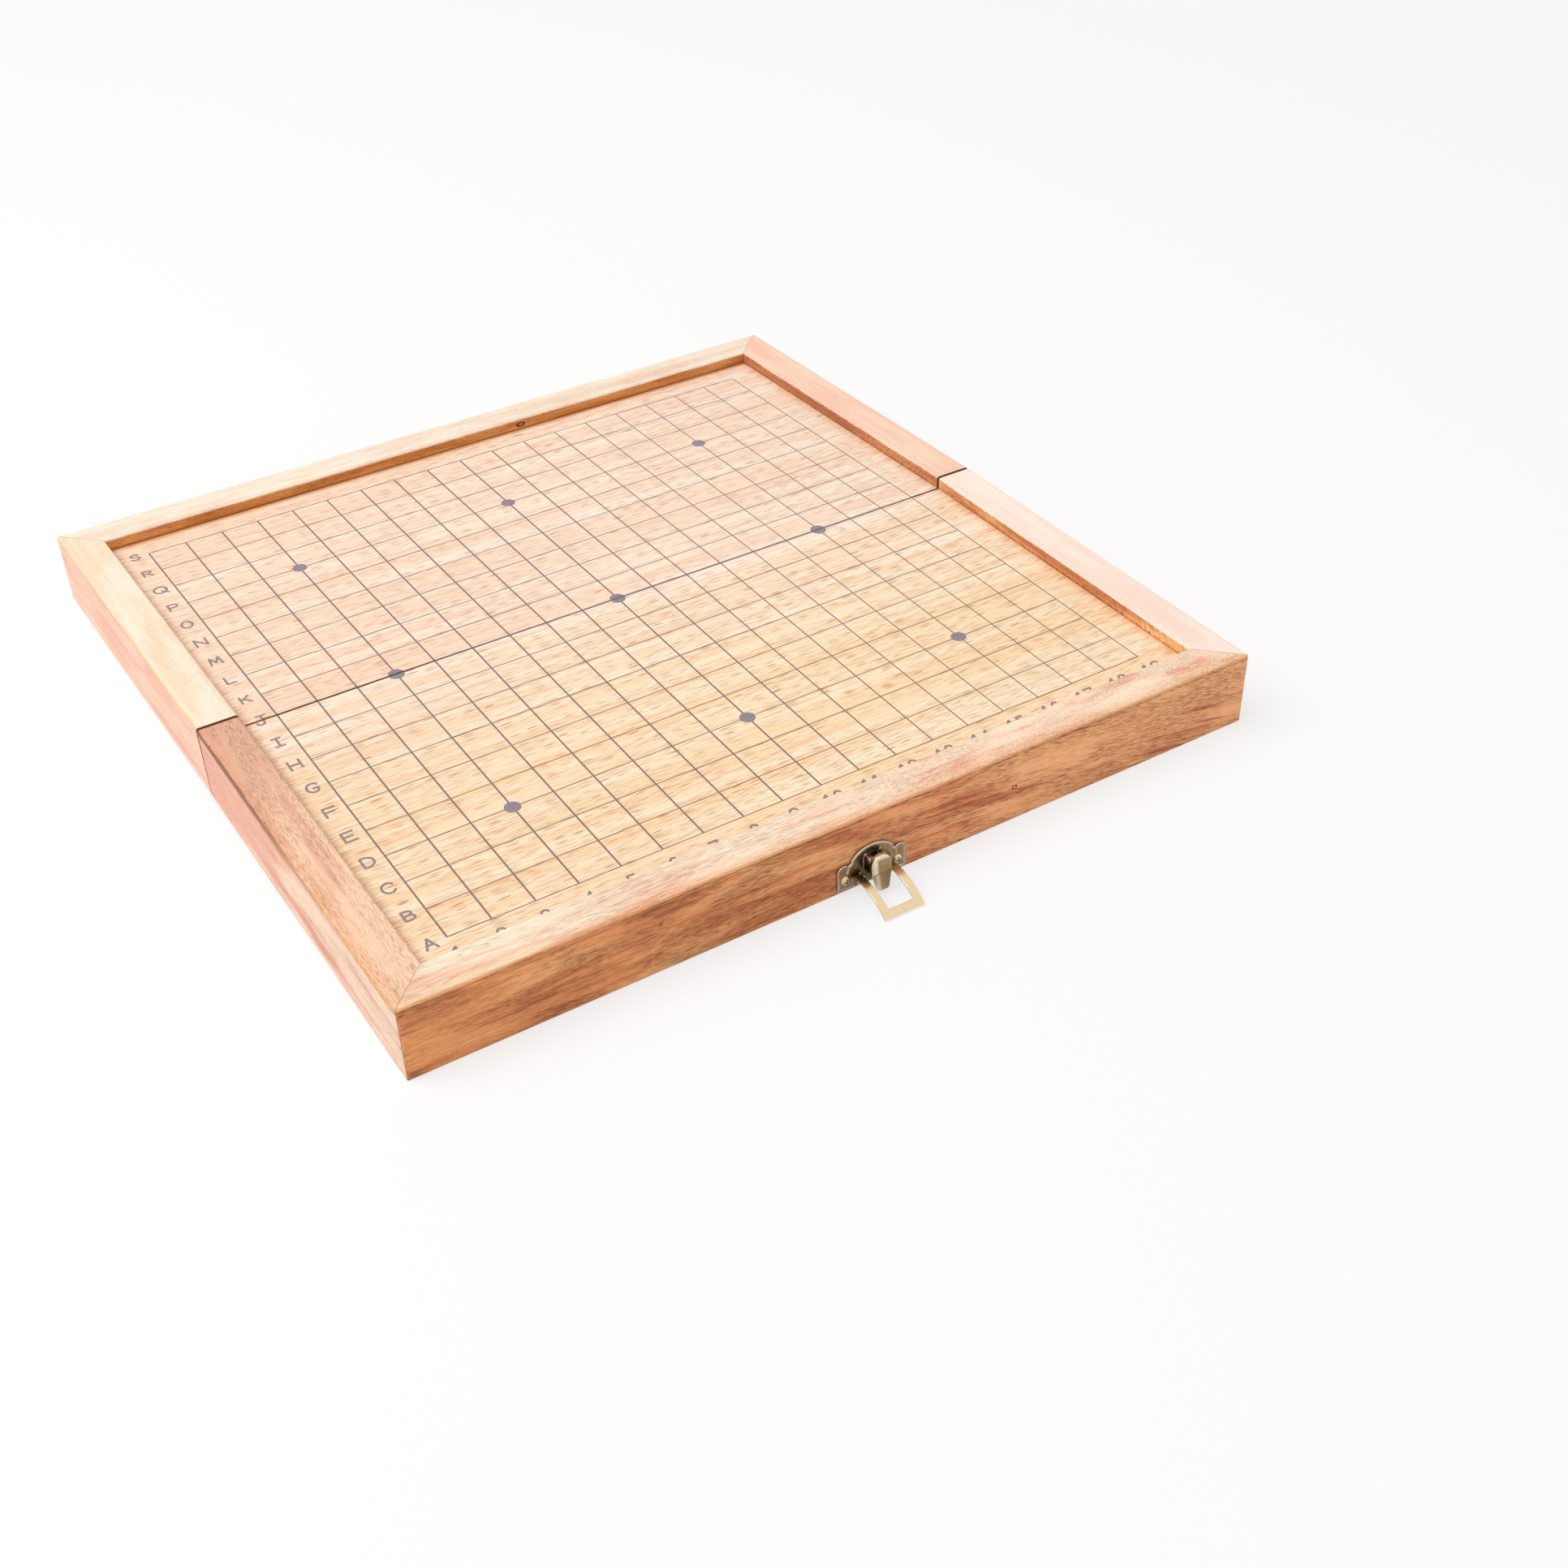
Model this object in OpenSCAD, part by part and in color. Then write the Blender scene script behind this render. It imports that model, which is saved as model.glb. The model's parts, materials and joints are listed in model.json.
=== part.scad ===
// Folding go board: two hollow half-cases hinged along the middle of the playing face.
// x runs along the numbered edge, y from the clasp to the far edge, z up from the table.
// The hinge barrels stand proud of the undersides, so each half leans out a little when open.

/* [Board] */
// Overall width, along the numbered edge
board_w = 400; // [380:1:440]
// Depth of one half, from the middle of the seam to its outer face
half_d = 203; // [193:1:225]
// Height of the case from its underside to the rim
case_h = 35; // [32:0.5:44]
// Gap between the two halves when they lie level
seam_gap = 0.4; // [0.3:0.1:1]

/* [Rails] */
// Thickness of the outer rails
rail_w = 18.5; // [16:0.5:22]
// Thickness of the rail under the seam
seam_rail_w = 16; // [15:0.5:24]
// Rounding of the long edges of the outer rails
edge_r = 1.2; // [0.5:0.1:2]
// Rounding of the upright outer corners
corner_r = 1.5; // [0.5:0.1:3]

/* [Panel] */
// Depth of the playing face below the rim
rim_h = 6; // [4:0.5:8]
// Thickness of the plywood panel
panel_t = 4; // [3:0.5:6]
// Depth of the groove that holds the panel
groove_d = 5; // [3:0.5:7]
// Play of the panel at the bottom of its groove
panel_play = 0.3; // [0.1:0.1:1]

/* [Grid] */
// Number of lines each way
lines = 19; // [9, 13, 19]
// Bare margin beside the grid, left and right
margin_x = 16; // [12:0.5:22]
// Bare margin beside the grid, front and back
margin_y = 14; // [10:0.5:20]
// Width of the lines that run front to back
column_line = 0.75; // [0.4:0.05:1.4]
// Width of the lines that run left to right
row_line = 0.4; // [0.3:0.05:1.4]
// Diameter of a star point
star_d = 7; // [4:0.5:9]
// Lines between the edge of the grid and the star points
star_inset = 3; // [2:1:4]
// Thickness of the ink film
ink_t = 0.1; // [0.05:0.05:0.2]

/* [Hinges] */
// Distance of each hinge's middle from the end of the board
hinge_end = 80; // [60:1:130]
// Length of a hinge
hinge_l = 38; // [30:1:50]
// Width of a leaf, from the axis
leaf_w = 12; // [10:0.5:14]
// Thickness of a leaf
leaf_t = 1; // [0.8:0.1:1.4]
// Outer radius of the barrel
barrel_r = 2.5; // [2:0.1:3]
// Radius of the hinge pin
hinge_pin_r = 1.1; // [0.8:0.1:1.3]
// Distance of the axis below the undersides
axis_drop = 0.25; // [0.2:0.05:0.5]
// Number of knuckles in a barrel
knuckles = 5; // [3:2:7]
// Gap between knuckles, and between the barrel and the other half
knuckle_gap = 0.35; // [0.3:0.05:0.6]

/* [Clasp] */
// Thickness of the stamped sheet
sheet_t = 0.8; // [0.6:0.1:1]
// Place of the clasp and its catch along the board's width
clasp_x = 2; // [-60:1:60]
// Width of the clasp plate
clasp_w = 33; // [32:0.5:40]
// Radius of the arch on the clasp plate
arch_r = 13; // [12:0.25:14]
// Height of the arch's centre above the underside
arch_z = 7.4; // [7:0.1:8.5]
// Width of the raised border of the clasp plate
border_w = 1; // [0.6:0.1:1.2]
// Width of the raised band that follows the arch
band_w = 3.3; // [2.5:0.1:3.6]
// Height of the clasp's screws above the underside
clasp_screw_z = 6.7; // [6.2:0.1:7.5]
// Height of the plates' lower edges above the underside
plate_z = 2; // [1.5:0.1:2.5]
// Distance of the bail's pivot from the rail
bail_out = 3.2; // [3:0.1:3.5]
// Height of the bail's pivot
bail_z = 6.6; // [6.4:0.1:7]
// Distance of the lever's pivot from the rail
lever_pivot_out = 4.2; // [4:0.1:4.6]
// Height of the lever's pivot
lever_z = 15.4; // [15:0.1:16]
// Radius of the clasp's pivot pins
clasp_pin_r = 0.8; // [0.6:0.05:0.9]
// Width of the lever
lever_w = 9.2; // [8.4:0.1:10]
// Height of the lever's round top above its pivot
lever_cap = 3.2; // [2.8:0.1:3.4]
// Distance of the lever's face from its pivot, at the bend
lever_stand = 3.8; // [3.7:0.1:4.5]
// Height of the bend in the lever's face
lever_bend_z = 9.6; // [9:0.1:11]
// How far the lever's top leans back from the bend
lever_lean = 0.7; // [0.3:0.1:0.8]
// Depth of the lip round the lever's face
lever_lip = 1.6; // [1.2:0.1:1.7]
// Width of the lever's tongue at its foot
tongue_w = 6; // [4:0.1:8]
// Height of the tongue's foot
tongue_z = 2.4; // [1.5:0.1:3.5]
// How far the tongue stands out at its foot
tongue_flare = 1.4; // [0.5:0.1:2]
// Outer width of the bail
bail_w = 18.8; // [17:0.1:20]
// Bend radius of the bail
bail_bend_r = 28; // [26:0.5:32]
// Length of the bail's cross strip
bail_cross = 3.5; // [2.5:0.1:4]

/* [Catch] */
// Width of the catch plate
catch_w = 27; // [25:0.5:33]
// Width of the hook
hook_w = 8; // [6:0.5:10]
// Height of the hook's lip
lip_h = 2.4; // [1.8:0.1:3]

/* [Fits] */
// Radial play of a pivot on its pin
pin_play = 0.04; // [0.02:0.01:0.08]
// Play between moving sheet parts
sheet_play = 0.3; // [0.25:0.05:0.4]
// Play of a screw in its hole
screw_play = 0.08; // [0.05:0.01:0.15]

/* [Hidden] */
$fn = 64;
over = 1;                              // how far a cut runs past the piece
clasp_screw = [2.4, 1.3, 10];          // head radius, shank radius, length
hinge_screw = [2.3, 1.2, 9];
recess = [0.55, 2.8, 0.9];             // cross recess: width, span, depth
tip_share = 0.35;                      // share of a screw that tapers to its point
tip_r = 0.1;                           // radius left at the point
dome_share = 0.55;                     // height of a round head, as a share of its radius

// Levels in one half, measured from its underside
panel_z = case_h - rim_h - panel_t;
face_z = panel_z + panel_t;

// Lean of each half, so that the outer edge and the barrels meet the table together
lean = asin((barrel_r + axis_drop) / (half_d - edge_r));
axis_z = barrel_r;

// Grid
inner_w = board_w - 2 * rail_w;
inner_d = half_d - rail_w;
half_lines = (lines - 1) / 2;
pitch_x = (inner_w - 2 * margin_x) / (lines - 1);
pitch_y = (inner_d - margin_y) / half_lines;
star_step = half_lines - star_inset;

// Hinges
hinge_x = board_w / 2 - hinge_end;
leaf_root = barrel_r + knuckle_gap;
knuckle_l = (hinge_l - (knuckles - 1) * knuckle_gap) / knuckles;
leaf_screw_y = (leaf_root + leaf_w) / 2;
leaf_screw_step = hinge_l / 3;
pin_stub = 0.6;                        // how far a hinge pin stands out of its barrel
pin_room = 0.6;                        // room past each end of the pin

// Clasp plate
lobe_r = 3;
lobe_z = 11.6;
bite_r = 1.3;                          // the notch between the arch and a lobe
plate_corner_r = 1.2;
border_t = 0.4;                        // how far the border stands proud
clasp_screw_in = 4;                    // from the end of the plate
clasp_screw_x = clasp_w / 2 - clasp_screw_in;
band_r = arch_r - border_w / 2;        // outer radius of the raised band
band_t = 0.6;                          // how far it stands proud
band_rise = 3.6;                       // from the bail's pivot up to its ends
band_z = bail_z + band_rise;

// Ears bent out of the plate, and the lever's lugs between them
ear_wall = 0.6;                        // sheet round a pivot's bore
ear_r = clasp_pin_r + ear_wall;
ear_play = 0.4;                        // between the lever and the bail's ears
ear_in = lever_w / 2 + ear_play;
ear_out = ear_in + sheet_t;
bail_pivot = [bail_out, bail_z];
bail_ear_drop = bail_z - ear_r - plate_z;
lever_pivot = [lever_pivot_out, lever_z];
neck_inset = 0.7;                      // from the side of the lever
neck_out = lever_w / 2 - neck_inset;
neck_in = neck_out - sheet_t;
neck_room = 1;                         // above the bail's ears
neck_drop = lever_z - ear_r - (bail_z + ear_r + neck_room);
lug_out = neck_in - sheet_play;
lug_in = lug_out - sheet_t;

// Lever
lever_half = lever_w / 2;
lever_top = lever_z + lever_cap;
lever_out = lever_pivot_out + lever_stand;
dome_z = lever_top - lever_half;
tongue_r = 1.4;
pin_end = 0.2;                         // how far the lever's pin stands out of its ears

// Bail, as an arc that leaves the top of its eyes a little upwards
bail_half = bail_w / 2;
bail_in = ear_out + sheet_play;
eye_bore = clasp_pin_r + pin_play;
eye_r = eye_bore + sheet_t;
bail_rise = 5;
bail_c = [bail_out + (bail_bend_r - eye_r + sheet_t / 2) * sin(bail_rise),
          bail_z - (bail_bend_r - eye_r + sheet_t / 2) * cos(bail_rise)];
table_rise = 0.5;                      // clears the leaning half's table line
bail_end = acos((table_rise + sheet_t / 2 - bail_c.y) / bail_bend_r);
bail_cross_a = bail_end - bail_cross / bail_bend_r * 180 / PI;
bail_cross_o = bail_c.x + bail_bend_r * sin(bail_cross_a);
bail_cross_z = bail_c.y + bail_bend_r * cos(bail_cross_a);
bail_reach = norm([bail_cross_o, bail_cross_z] - bail_pivot);
rivet_head = [1.3, 0.5];               // radius and thickness

// Catch, placed where the bail's cross strip comes to when the case is shut
catch_arch_r = 9.5;
catch_arch_z = 6.2;
catch_lobe_r = 2.5;
catch_lobe_z = 8;
catch_screw_in = 3.6;                  // from the end of the plate
catch_screw_x = catch_w / 2 - catch_screw_in;
catch_screw_z = 6;
hook_play = 0.5;
hook_z = bail_reach - bail_z - 2 * axis_drop - hook_play - sheet_t;
hook_foot = 3;
hook_root = 1.2;                       // thickness of the hook where it leaves the plate
lip_gap = 1.3;                         // from the bail's pivot line to the lip
lip_out = bail_out + lip_gap + sheet_t / 2;

// A half is drawn with its underside at z = 0 and its outer face at y = half_d, then leaned about the hinge axis
module back_half() {
    translate([0, 0, axis_z]) rotate([-lean, 0, 0]) translate([0, 0, axis_drop]) children();
}

module front_half() {
    mirror([0, 1, 0]) back_half() children();
}

module at_clasp() {
    translate([clasp_x, 0, 0]) children();
}

module both_sides() {
    children();
    mirror([1, 0, 0]) children();
}

// A rectangle from the origin with round corners
module rounded_rect(size, r) {
    translate([r, 0]) square([size.x - 2 * r, size.y]);
    translate([0, r]) square([size.x, size.y - 2 * r]);
    for (x = [r, size.x - r], y = [r, size.y - r]) translate([x, y]) circle(r);
}

// Rail section: x from the inner face to the outer face, y up
module rail_section() {
    difference() {
        rounded_rect([rail_w, case_h], edge_r);
        translate([-over, panel_z]) square([groove_d + over, panel_t]);
    }
}

// Outline of one half from above, with its two outer corners rounded
module half_outline() {
    translate([-board_w / 2, -2 * corner_r]) rounded_rect([board_w, half_d + 2 * corner_r], corner_r);
}

module upright(plan_h) {
    translate([0, 0, -over]) linear_extrude(plan_h + 2 * over) children();
}

// Long outer rail, mitred at both ends
module outer_rail() {
    intersection() {
        translate([-board_w / 2, half_d - rail_w, 0]) rotate([90, 0, 90]) linear_extrude(board_w) rail_section();
        upright(case_h) intersection() {
            half_outline();
            polygon([[-board_w / 2, half_d], [board_w / 2, half_d],
                     [inner_w / 2, inner_d], [-inner_w / 2, inner_d]]);
        }
    }
}

// Side rail on the right, mitred at its outer end and cut square at the seam
module side_rail() {
    intersection() {
        translate([inner_w / 2, half_d, 0]) rotate([90, 0, 0]) linear_extrude(half_d) rail_section();
        upright(case_h) intersection() {
            half_outline();
            polygon([[inner_w / 2, seam_gap / 2], [board_w / 2, seam_gap / 2],
                     [board_w / 2, half_d], [inner_w / 2, inner_d]]);
        }
    }
}

// Rail under the seam, mortised for the hinge leaves and hollowed round their barrels
module seam_rail() {
    difference() {
        translate([-inner_w / 2, seam_gap / 2, 0]) cube([inner_w, seam_rail_w, panel_z]);
        for (side = [-1, 1]) translate([side * hinge_x, 0, 0]) {
            translate([-hinge_l / 2 - screw_play, 0, -over])
                cube([hinge_l + 2 * screw_play, leaf_w + screw_play, leaf_t + over]);
            hinge_axis(hinge_l + 2 * (pin_stub + pin_room), barrel_r + knuckle_gap);
            leaf_screws(hinge_screw_hole = true);
        }
    }
}

module panel() {
    panel_half_w = inner_w / 2 + groove_d - panel_play;
    translate([-panel_half_w, seam_gap / 2, panel_z])
        cube([2 * panel_half_w, inner_d + groove_d - panel_play - seam_gap / 2, panel_t]);
}

// Printed lines and star points of one half, with half of the middle line at the seam
module grid() {
    grid_half_w = half_lines * pitch_x;
    grid_d = half_lines * pitch_y;
    translate([0, 0, face_z]) linear_extrude(ink_t) intersection() {
        union() {
            for (i = [-half_lines : half_lines])
                translate([i * pitch_x - column_line / 2, 0]) square([column_line, grid_d + row_line / 2]);
            for (j = [0 : half_lines])
                translate([-grid_half_w - column_line / 2, j * pitch_y - row_line / 2])
                    square([2 * grid_half_w + column_line, row_line]);
            for (i = [-1, 0, 1], j = [0, 1])
                translate([i * star_step * pitch_x, j * star_step * pitch_y]) circle(d = star_d);
        }
        translate([-board_w / 2, seam_gap / 2]) square([board_w, half_d]);
    }
}

// Cylinder on the hinge axis, centred at x = 0 of the hinge
module hinge_axis(length, r) {
    translate([-length / 2, 0, -axis_drop]) rotate([0, 90, 0]) cylinder(h = length, r = r);
}

module at_hinge(side) {
    translate([side * hinge_x, 0, 0]) children();
}

// One leaf; first is 0 for the leaf with the end knuckles and 1 for the other
module leaf(first) {
    difference() {
        union() {
            translate([-hinge_l / 2, leaf_root, 0]) cube([hinge_l, leaf_w - leaf_root, leaf_t]);
            for (i = [first : 2 : knuckles - 1])
                translate([-hinge_l / 2 + i * (knuckle_l + knuckle_gap), 0, 0]) {
                    cube([knuckle_l, leaf_root, leaf_t]);
                    translate([knuckle_l / 2, 0, 0]) hinge_axis(knuckle_l, barrel_r);
                }
        }
        hinge_axis(hinge_l + 2 * over, hinge_pin_r + pin_play);
        leaf_screws(hinge_screw_hole = true);
    }
}

module hinge_pin() {
    hinge_axis(hinge_l + 2 * pin_stub, hinge_pin_r);
}

// Countersunk screw with its head at z = 0 and its point below
module flat_screw(size) {
    tip = size[2] * tip_share;
    difference() {
        union() {
            translate([0, 0, size[1] - size[0]]) cylinder(h = size[0] - size[1], r1 = size[1], r2 = size[0]);
            translate([0, 0, tip - size[2]]) cylinder(h = size[2] - tip + size[1] - size[0], r = size[1]);
            translate([0, 0, -size[2]]) cylinder(h = tip, r1 = tip_r, r2 = size[1]);
        }
        cross_recess();
    }
}

// Screw with a low round head that stands on z = 0
module round_screw(size) {
    tip = size[2] * tip_share;
    dome_h = size[0] * dome_share;
    dome_r = (size[0] * size[0] + dome_h * dome_h) / (2 * dome_h);
    difference() {
        union() {
            intersection() {
                translate([0, 0, dome_h - dome_r]) sphere(dome_r);
                cylinder(h = dome_h + over, r = size[0]);
            }
            translate([0, 0, tip - size[2]]) cylinder(h = size[2] - tip, r = size[1]);
            translate([0, 0, -size[2]]) cylinder(h = tip, r1 = tip_r, r2 = size[1]);
        }
        translate([0, 0, dome_h]) cross_recess();
    }
}

module cross_recess() {
    for (a = [0, 90]) rotate([0, 0, a])
        translate([-recess.x / 2, -recess.y / 2, -recess.z]) cube([recess.x, recess.y, recess.z + over]);
}

// Room for a screw: its shank, and its countersink where it has one
module screw_room(size, flat) {
    r = size[1] + screw_play;
    translate([0, 0, -size[2] - screw_play]) cylinder(h = size[2] + screw_play + over, r = r);
    if (flat)
        translate([0, 0, size[1] - size[0]])
            cylinder(h = size[0] - size[1], r1 = r, r2 = size[0] + screw_play);
}

module leaf_screws(hinge_screw_hole = false) {
    for (i = [-1, 0, 1]) translate([i * leaf_screw_step, leaf_screw_y, 0]) rotate([180, 0, 0])
        if (hinge_screw_hole) screw_room(hinge_screw, true);
        else flat_screw(hinge_screw);
}

// A sheet outline (x, height) that lies from one distance off the outer rail to another
module off_rail(near, far) {
    translate([0, half_d + far, 0]) rotate([90, 0, 0]) linear_extrude(far - near) children();
}

// A side outline (distance off the rail, height) carried from x0 to x1
module across(x0, x1) {
    translate([x0, half_d, 0]) rotate([90, 0, 90]) linear_extrude(x1 - x0) children();
}

module on_rail(x, out, z) {
    translate([x, half_d + out, z]) rotate([-90, 0, 0]) children();
}

// Stamped plate outline: an arch between two lobes, drawn in from its edge by inset
module plate_outline(w, arch, arch_centre, lobe, lobe_centre, inset = 0) {
    half_w = w / 2 - inset;
    low = plate_z + inset;
    bite_x = w / 2 - 2 * lobe + bite_r / 2;
    bite_z = arch_centre + sqrt(pow(arch + bite_r / 2, 2) - bite_x * bite_x);
    difference() {
        union() {
            translate([-half_w, low]) rounded_rect([2 * half_w, lobe_centre - low], plate_corner_r - inset / 2);
            translate([-half_w, low + plate_corner_r]) square([2 * half_w, lobe_centre - low - plate_corner_r]);
            both_sides() translate([w / 2 - lobe, lobe_centre]) circle(lobe - inset);
            intersection() {
                translate([0, arch_centre]) circle(arch - inset);
                translate([-half_w, low]) square([2 * half_w, arch_centre + arch]);
            }
        }
        both_sides() translate([bite_x, bite_z]) circle(bite_r + inset);
    }
}

module clasp_outline(inset = 0) {
    plate_outline(clasp_w, arch_r, arch_z, lobe_r, lobe_z, inset);
}

module disc(p, r) {
    translate(p) circle(r);
}

// Ear with round ends that carries a pivot, and reaches down from it by drop
module ear_outline(pivot, drop) {
    difference() {
        union() {
            translate([sheet_t / 2, pivot.y - drop - ear_r]) square([pivot.x - sheet_t / 2, drop + 2 * ear_r]);
            translate([sheet_t / 2, pivot.y - drop]) square([pivot.x + ear_r - sheet_t / 2, drop]);
            disc(pivot, ear_r);
            disc(pivot - [0, drop], ear_r);
        }
        disc(pivot, clasp_pin_r + pin_play);
    }
}

// Clasp plate: rolled border, raised band along the arch, ears for the bail and a neck for the lever
module clasp_base() {
    difference() {
        union() {
            off_rail(0, sheet_t) clasp_outline();
            off_rail(0, sheet_t + border_t) difference() {
                clasp_outline();
                clasp_outline(border_w);
            }
            off_rail(0, sheet_t + band_t) intersection() {
                clasp_outline(border_w / 2);
                difference() {
                    disc([0, arch_z], band_r);
                    disc([0, arch_z], band_r - band_w);
                }
                translate([-clasp_w / 2, band_z]) square([clasp_w, arch_r]);
            }
            both_sides() {
                across(ear_in, ear_out) ear_outline(bail_pivot, bail_ear_drop);
                across(neck_in, neck_out) ear_outline(lever_pivot, neck_drop);
            }
        }
        both_sides() on_rail(clasp_screw_x, sheet_t, clasp_screw_z) screw_room(clasp_screw, false);
    }
}

// Distance of the lever's face from the rail, which leans back above the bend
function face_at(z) = lever_out - lever_lean * (z - lever_bend_z) / (lever_top - lever_bend_z);

// Round-topped cap of the lever, drawn in by inset, between two depths behind its face and above low
module cap_solid(inset, near, far, low) {
    r = lever_half - inset;
    intersection() {
        off_rail(0, lever_out + over) {
            disc([0, dome_z], r);
            translate([-r, low]) square([2 * r, dome_z - low]);
        }
        across(-lever_half, lever_half)
            polygon([[face_at(low) - far, low], [face_at(low) - near, low],
                     [face_at(lever_top) - near, lever_top], [face_at(lever_top) - far, lever_top]]);
    }
}

// Tongue below the bend, narrower and further out towards its round foot
module tongue() {
    foot_out = lever_out + tongue_flare;
    intersection() {
        across(-lever_half, lever_half)
            polygon([[lever_out - sheet_t, lever_bend_z], [lever_out, lever_bend_z],
                     [foot_out, tongue_z], [foot_out - sheet_t, tongue_z]]);
        off_rail(0, foot_out + over) hull() {
            translate([-lever_half, lever_bend_z]) square([lever_w, over]);
            for (side = [-1, 1]) disc([side * (tongue_w / 2 - tongue_r), tongue_z + tongue_r], tongue_r);
        }
    }
}

// Lug that carries the cap on the upper pin
module lug_outline() {
    disc(lever_pivot, ear_r);
    translate(lever_pivot - [0, ear_r])
        square([lever_stand - lever_lean - sheet_t / 4, 2 * ear_r]);
}

// Thumb lever: a shallow cap with a tongue, lifted by its foot about the upper pin
module lever() {
    difference() {
        union() {
            difference() {
                cap_solid(0, 0, lever_lip, lever_bend_z);
                cap_solid(sheet_t, sheet_t, lever_lip + over, lever_bend_z - over);
            }
            tongue();
            both_sides() across(lug_in, lug_out) lug_outline();
        }
        across(-lever_w, lever_w) disc(lever_pivot, clasp_pin_r + pin_play);
    }
}

// Bail: a bent sheet with a window, rolled round its rivets
module bail() {
    reach = (bail_bend_r + sheet_t) / cos((bail_end + bail_rise) / 2);
    difference() {
        across(-bail_half, bail_half) difference() {
            union() {
                intersection() {
                    translate(bail_c) difference() {
                        circle(bail_bend_r + sheet_t / 2);
                        circle(bail_bend_r - sheet_t / 2);
                    }
                    polygon([bail_c, bail_c + reach * [-sin(bail_rise), cos(bail_rise)],
                             bail_c + reach * [sin(bail_end), cos(bail_end)]]);
                }
                disc(bail_pivot, eye_r);
            }
            disc(bail_pivot, eye_bore);
        }
        translate([-bail_in, half_d - over, -over])
            cube([2 * bail_in, bail_cross_o + over, case_h]);
    }
}

// Rivet through an ear and the bail's eye, with its head inside the ear
module rivet() {
    across(ear_in, bail_half) disc(bail_pivot, clasp_pin_r);
    across(ear_in - rivet_head[1], ear_in) disc(bail_pivot, rivet_head[0]);
}

module catch_base() {
    difference() {
        union() {
            off_rail(0, sheet_t) plate_outline(catch_w, catch_arch_r, catch_arch_z, catch_lobe_r, catch_lobe_z);
            across(-hook_w / 2, hook_w / 2) {
                translate([sheet_t / 2, hook_z - hook_foot]) square([hook_root, hook_foot + sheet_t]);
                translate([sheet_t / 2, hook_z]) square([lip_out + sheet_t / 2, sheet_t]);
                translate([lip_out, hook_z]) square([sheet_t, lip_h]);
            }
        }
        both_sides() on_rail(catch_screw_x, sheet_t, catch_screw_z) screw_room(clasp_screw, false);
    }
}

// The long rails, drilled for the screws of the plate that each one carries
module drilled_rail(screw_x, screw_z) {
    difference() {
        outer_rail();
        at_clasp() both_sides() on_rail(screw_x, sheet_t, screw_z) screw_room(clasp_screw, false);
    }
}

module back_rail() { color("burlywood") back_half() drilled_rail(catch_screw_x, catch_screw_z); }
module back_left_rail() { color("wheat") back_half() mirror([1, 0, 0]) side_rail(); }
module back_right_rail() { color("tan") back_half() side_rail(); }
module back_seam_rail() { color("peru") back_half() seam_rail(); }
module back_panel() { color("bisque") back_half() panel(); }
module back_grid() { color("dimgray") back_half() grid(); }

module front_rail() { color("sandybrown") front_half() drilled_rail(clasp_screw_x, clasp_screw_z); }
module front_left_rail() { color("rosybrown") front_half() mirror([1, 0, 0]) side_rail(); }
module front_right_rail() { color("tan") front_half() side_rail(); }
module front_seam_rail() { color("peru") front_half() seam_rail(); }
module front_panel() { color("navajowhite") front_half() panel(); }
module front_grid() { color("dimgray") front_half() grid(); }

module left_hinge_back_leaf() { color("goldenrod") back_half() at_hinge(-1) leaf(0); }
module left_hinge_front_leaf() { color("darkgoldenrod") front_half() at_hinge(-1) leaf(1); }
module left_hinge_pin() { color("gray") back_half() at_hinge(-1) hinge_pin(); }
module right_hinge_back_leaf() { color("goldenrod") back_half() at_hinge(1) leaf(0); }
module right_hinge_front_leaf() { color("darkgoldenrod") front_half() at_hinge(1) leaf(1); }
module right_hinge_pin() { color("gray") back_half() at_hinge(1) hinge_pin(); }
module back_hinge_screws() { color("silver") back_half() for (side = [-1, 1]) at_hinge(side) leaf_screws(); }
module front_hinge_screws() { color("silver") front_half() for (side = [-1, 1]) at_hinge(side) leaf_screws(); }

module clasp_plate() { color("darkkhaki") front_half() at_clasp() clasp_base(); }
module clasp_screws() {
    color("khaki") front_half() at_clasp() both_sides()
        on_rail(clasp_screw_x, sheet_t, clasp_screw_z) round_screw(clasp_screw);
}
module clasp_lever() { color("rosybrown") front_half() at_clasp() lever(); }
module lever_pin() {
    color("gray") front_half() at_clasp()
        across(-neck_out - pin_end, neck_out + pin_end) disc(lever_pivot, clasp_pin_r);
}
module clasp_bail() { color("gold") front_half() at_clasp() bail(); }
module bail_rivets() { color("gray") front_half() at_clasp() both_sides() rivet(); }

module catch_plate() { color("darkkhaki") back_half() at_clasp() catch_base(); }
module catch_screws() {
    color("khaki") back_half() at_clasp() both_sides()
        on_rail(catch_screw_x, sheet_t, catch_screw_z) round_screw(clasp_screw);
}

back_rail();
back_left_rail();
back_right_rail();
back_seam_rail();
back_panel();
back_grid();
front_rail();
front_left_rail();
front_right_rail();
front_seam_rail();
front_panel();
front_grid();
left_hinge_back_leaf();
left_hinge_front_leaf();
left_hinge_pin();
right_hinge_back_leaf();
right_hinge_front_leaf();
right_hinge_pin();
back_hinge_screws();
front_hinge_screws();
clasp_plate();
clasp_screws();
clasp_lever();
lever_pin();
clasp_bail();
bail_rivets();
catch_plate();
catch_screws();
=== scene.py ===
import json
import math

import bpy
import numpy as np
from mathutils import Matrix, Vector


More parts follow.
